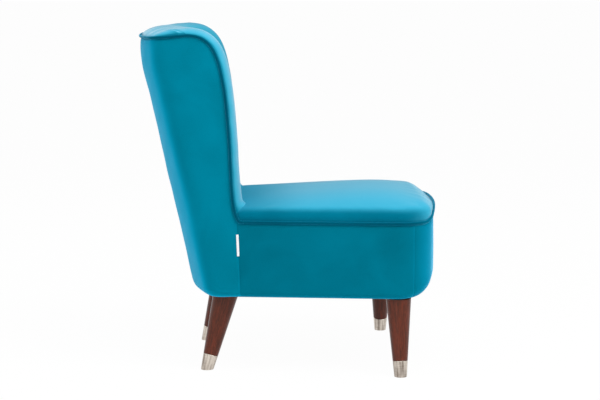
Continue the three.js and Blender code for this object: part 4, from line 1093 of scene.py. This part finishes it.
for place, (foot, top), side in (
    ("front_right", FRONT_LEG, -1), ("front_left", FRONT_LEG, 1),
    ("rear_right", BACK_LEG, -1), ("rear_left", BACK_LEG, 1),
):
    leg_foot = (side * foot[0], foot[1])
    leg_top = (side * top[0], top[1])
    turned_piece(f"turned_leg_{place}", f"leg_{place}", leg_profile, leg_foot, leg_top, leg_wood,
                 0, LEG_HEIGHT - TENON_GAP)
    turned_piece(f"foot_ferrule_{place}", f"ferrule_{place}", ferrule_profile, leg_foot, leg_top,
                 ferrule_metal, 0, LEG_HEIGHT)


# Tag in the right side seam

def folded_tag():
    """A blank loop of white tape caught in the seam, slightly bowed off the cover."""
    seam_head = np.array([-side_half_width(SEAM_HEAD_Y), SEAM_HEAD_Y, SEAT_EDGE_HEIGHT])
    seam_foot = np.array([-side_half_width(SEAM_FOOT_Y), SEAM_FOOT_Y, PANEL_BOTTOM])
    up = unit(seam_head - seam_foot)
    out = np.array([-1, SIDE_FLARE, 0]) / side_slope
    across = np.cross(up, out)
    middle = seam_head - up * (TAG_TOP_DROP + TAG_LENGTH / 2)
    columns, rows = 9, 41
    points = []
    for layer in (0, 1):
        for u in np.linspace(-1, 1, rows):
            for v in np.linspace(-1, 1, columns):
                bow = 0.5 + 0.35 * math.sin(2.2 * u + 0.6) * (v + 1) / 2
                thickness = TAG_THICKNESS * layer * (1 - 0.5 * abs(v) ** 6) * (1 - 0.4 * abs(u) ** 20)
                half_width = TAG_WIDTH / 2 * (1 - 0.04 * abs(u) ** 12)
                points.append(middle + up * (u * TAG_LENGTH / 2) + across * (v * half_width)
                              + out * (bow + thickness))
    layer_size = rows * columns
    front = grid_faces(rows, columns)
    faces = [tuple(index + layer_size for index in face) for face in front]
    faces += [tuple(reversed(face)) for face in front]
    rim = (list(range(columns))
           + [row * columns + columns - 1 for row in range(1, rows)]
           + [(rows - 1) * columns + column for column in range(columns - 2, -1, -1)]
           + [row * columns for row in range(rows - 2, 0, -1)])
    for a, b in zip(rim, rim[1:] + rim[:1]):
        faces.append((a, b, b + layer_size, a + layer_size))
    piece = make_piece("seam_tag", points, faces, tag_tape)
    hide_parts("side_tag")


folded_tag()


# Studio

FLOOR_REACH = 30
FLOOR_GLOW = 0.97
SOFT_LIGHT = 0.45
WHITE = linear(0xFFFFFF)


def seen_directly(material):
    """1 for what the camera sees, in a mirror or through glass too, and 0 for the light on the chair."""
    path = add_node(material, "ShaderNodeLightPath")
    seen = path.outputs["Is Camera Ray"]
    for ray in ("Is Glossy Ray", "Is Transmission Ray"):
        seen = add_node(material, "ShaderNodeMath", {"operation": "ADD", "use_clamp": True},
                        {0: seen, 1: path.outputs[ray]})
    return seen


def studio_floor():
    """A pale floor that the camera and the reflections see as white, and that keeps the shadow."""
    mesh = bpy.data.meshes.new("floor")
    corners = [(x * FLOOR_REACH, y * FLOOR_REACH, 0) for x, y in ((-1, -1), (1, -1), (1, 1), (-1, 1))]
    mesh.from_pydata(corners, [], [(0, 1, 2, 3)])
    floor = placed("floor", mesh)
    material = new_material("white studio paper")
    paper = add_node(material, "ShaderNodeBsdfDiffuse", {"Color": linear(0xF4F4F4)})
    glow = add_node(material, "ShaderNodeEmission", {"Color": WHITE, "Strength": 1.0})
    share = add_node(material, "ShaderNodeMath", {"operation": "MULTIPLY", 1: FLOOR_GLOW},
                     {0: seen_directly(material)})
    blend = add_node(material, "ShaderNodeMixShader", links={0: share, 1: paper, 2: glow})
    add_node(material, "ShaderNodeOutputMaterial", links={"Surface": blend})
    mesh.materials.append(material)


def studio_world():
    """White to the camera and to reflections, and a soft even light to everything else."""
    world = bpy.data.worlds.new("studio")
    scene.world = world
    world.use_nodes = True
    world.node_tree.nodes.clear()
    soft = add_node(world, "ShaderNodeBackground", {"Color": WHITE, "Strength": SOFT_LIGHT})
    white = add_node(world, "ShaderNodeBackground", {"Color": WHITE, "Strength": 1.0})
    blend = add_node(world, "ShaderNodeMixShader", links={0: seen_directly(world), 1: soft, 2: white})
    add_node(world, "ShaderNodeOutputWorld", links={"Surface": blend})


def softbox(name, place, target, size, watts):
    """A large square soft lamp aimed at a place."""
    light = bpy.data.lights.new(name, "AREA")
    light.shape = "SQUARE"
    light.size = size
    light.energy = watts
    lamp = placed(name, light)
    lamp.location = place
    lamp.rotation_euler = (Vector(target) - Vector(place)).to_track_quat("-Z", "Y").to_euler()


studio_floor()
studio_world()
softbox("top softbox", (-1.5, -0.8, 2.8), (0, 0, 0.4), 2.0, 58)
softbox("camera side softbox", (-3.4, 1.8, 1.7), (0, 0, 0.45), 1.8, 21)
softbox("front softbox", (-1.6, -2.4, 2.7), (0, 0, 0.5), 1.6, 36)
softbox("rear softbox", (-0.6, 2.4, 2.8), (0, 0.2, 0.6), 1.6, 14)
softbox("far side softbox", (2.6, 0.6, 2.2), (0, 0, 0.6), 1.6, 8)


# Camera, at the photograph's place

camera_data = bpy.data.cameras.new("camera")
camera_data.sensor_fit = "HORIZONTAL"
camera_data.sensor_width = 36
camera_data.lens = 108
camera_data.clip_end = 100
camera = placed("camera", camera_data)
camera.location = (-4.6, 0.1902, 1.0551)
camera.rotation_euler = Vector((0.98896, -0.04787, -0.14027)).to_track_quat("-Z", "Y").to_euler()
scene.camera = camera

scene.view_settings.view_transform = "Standard"
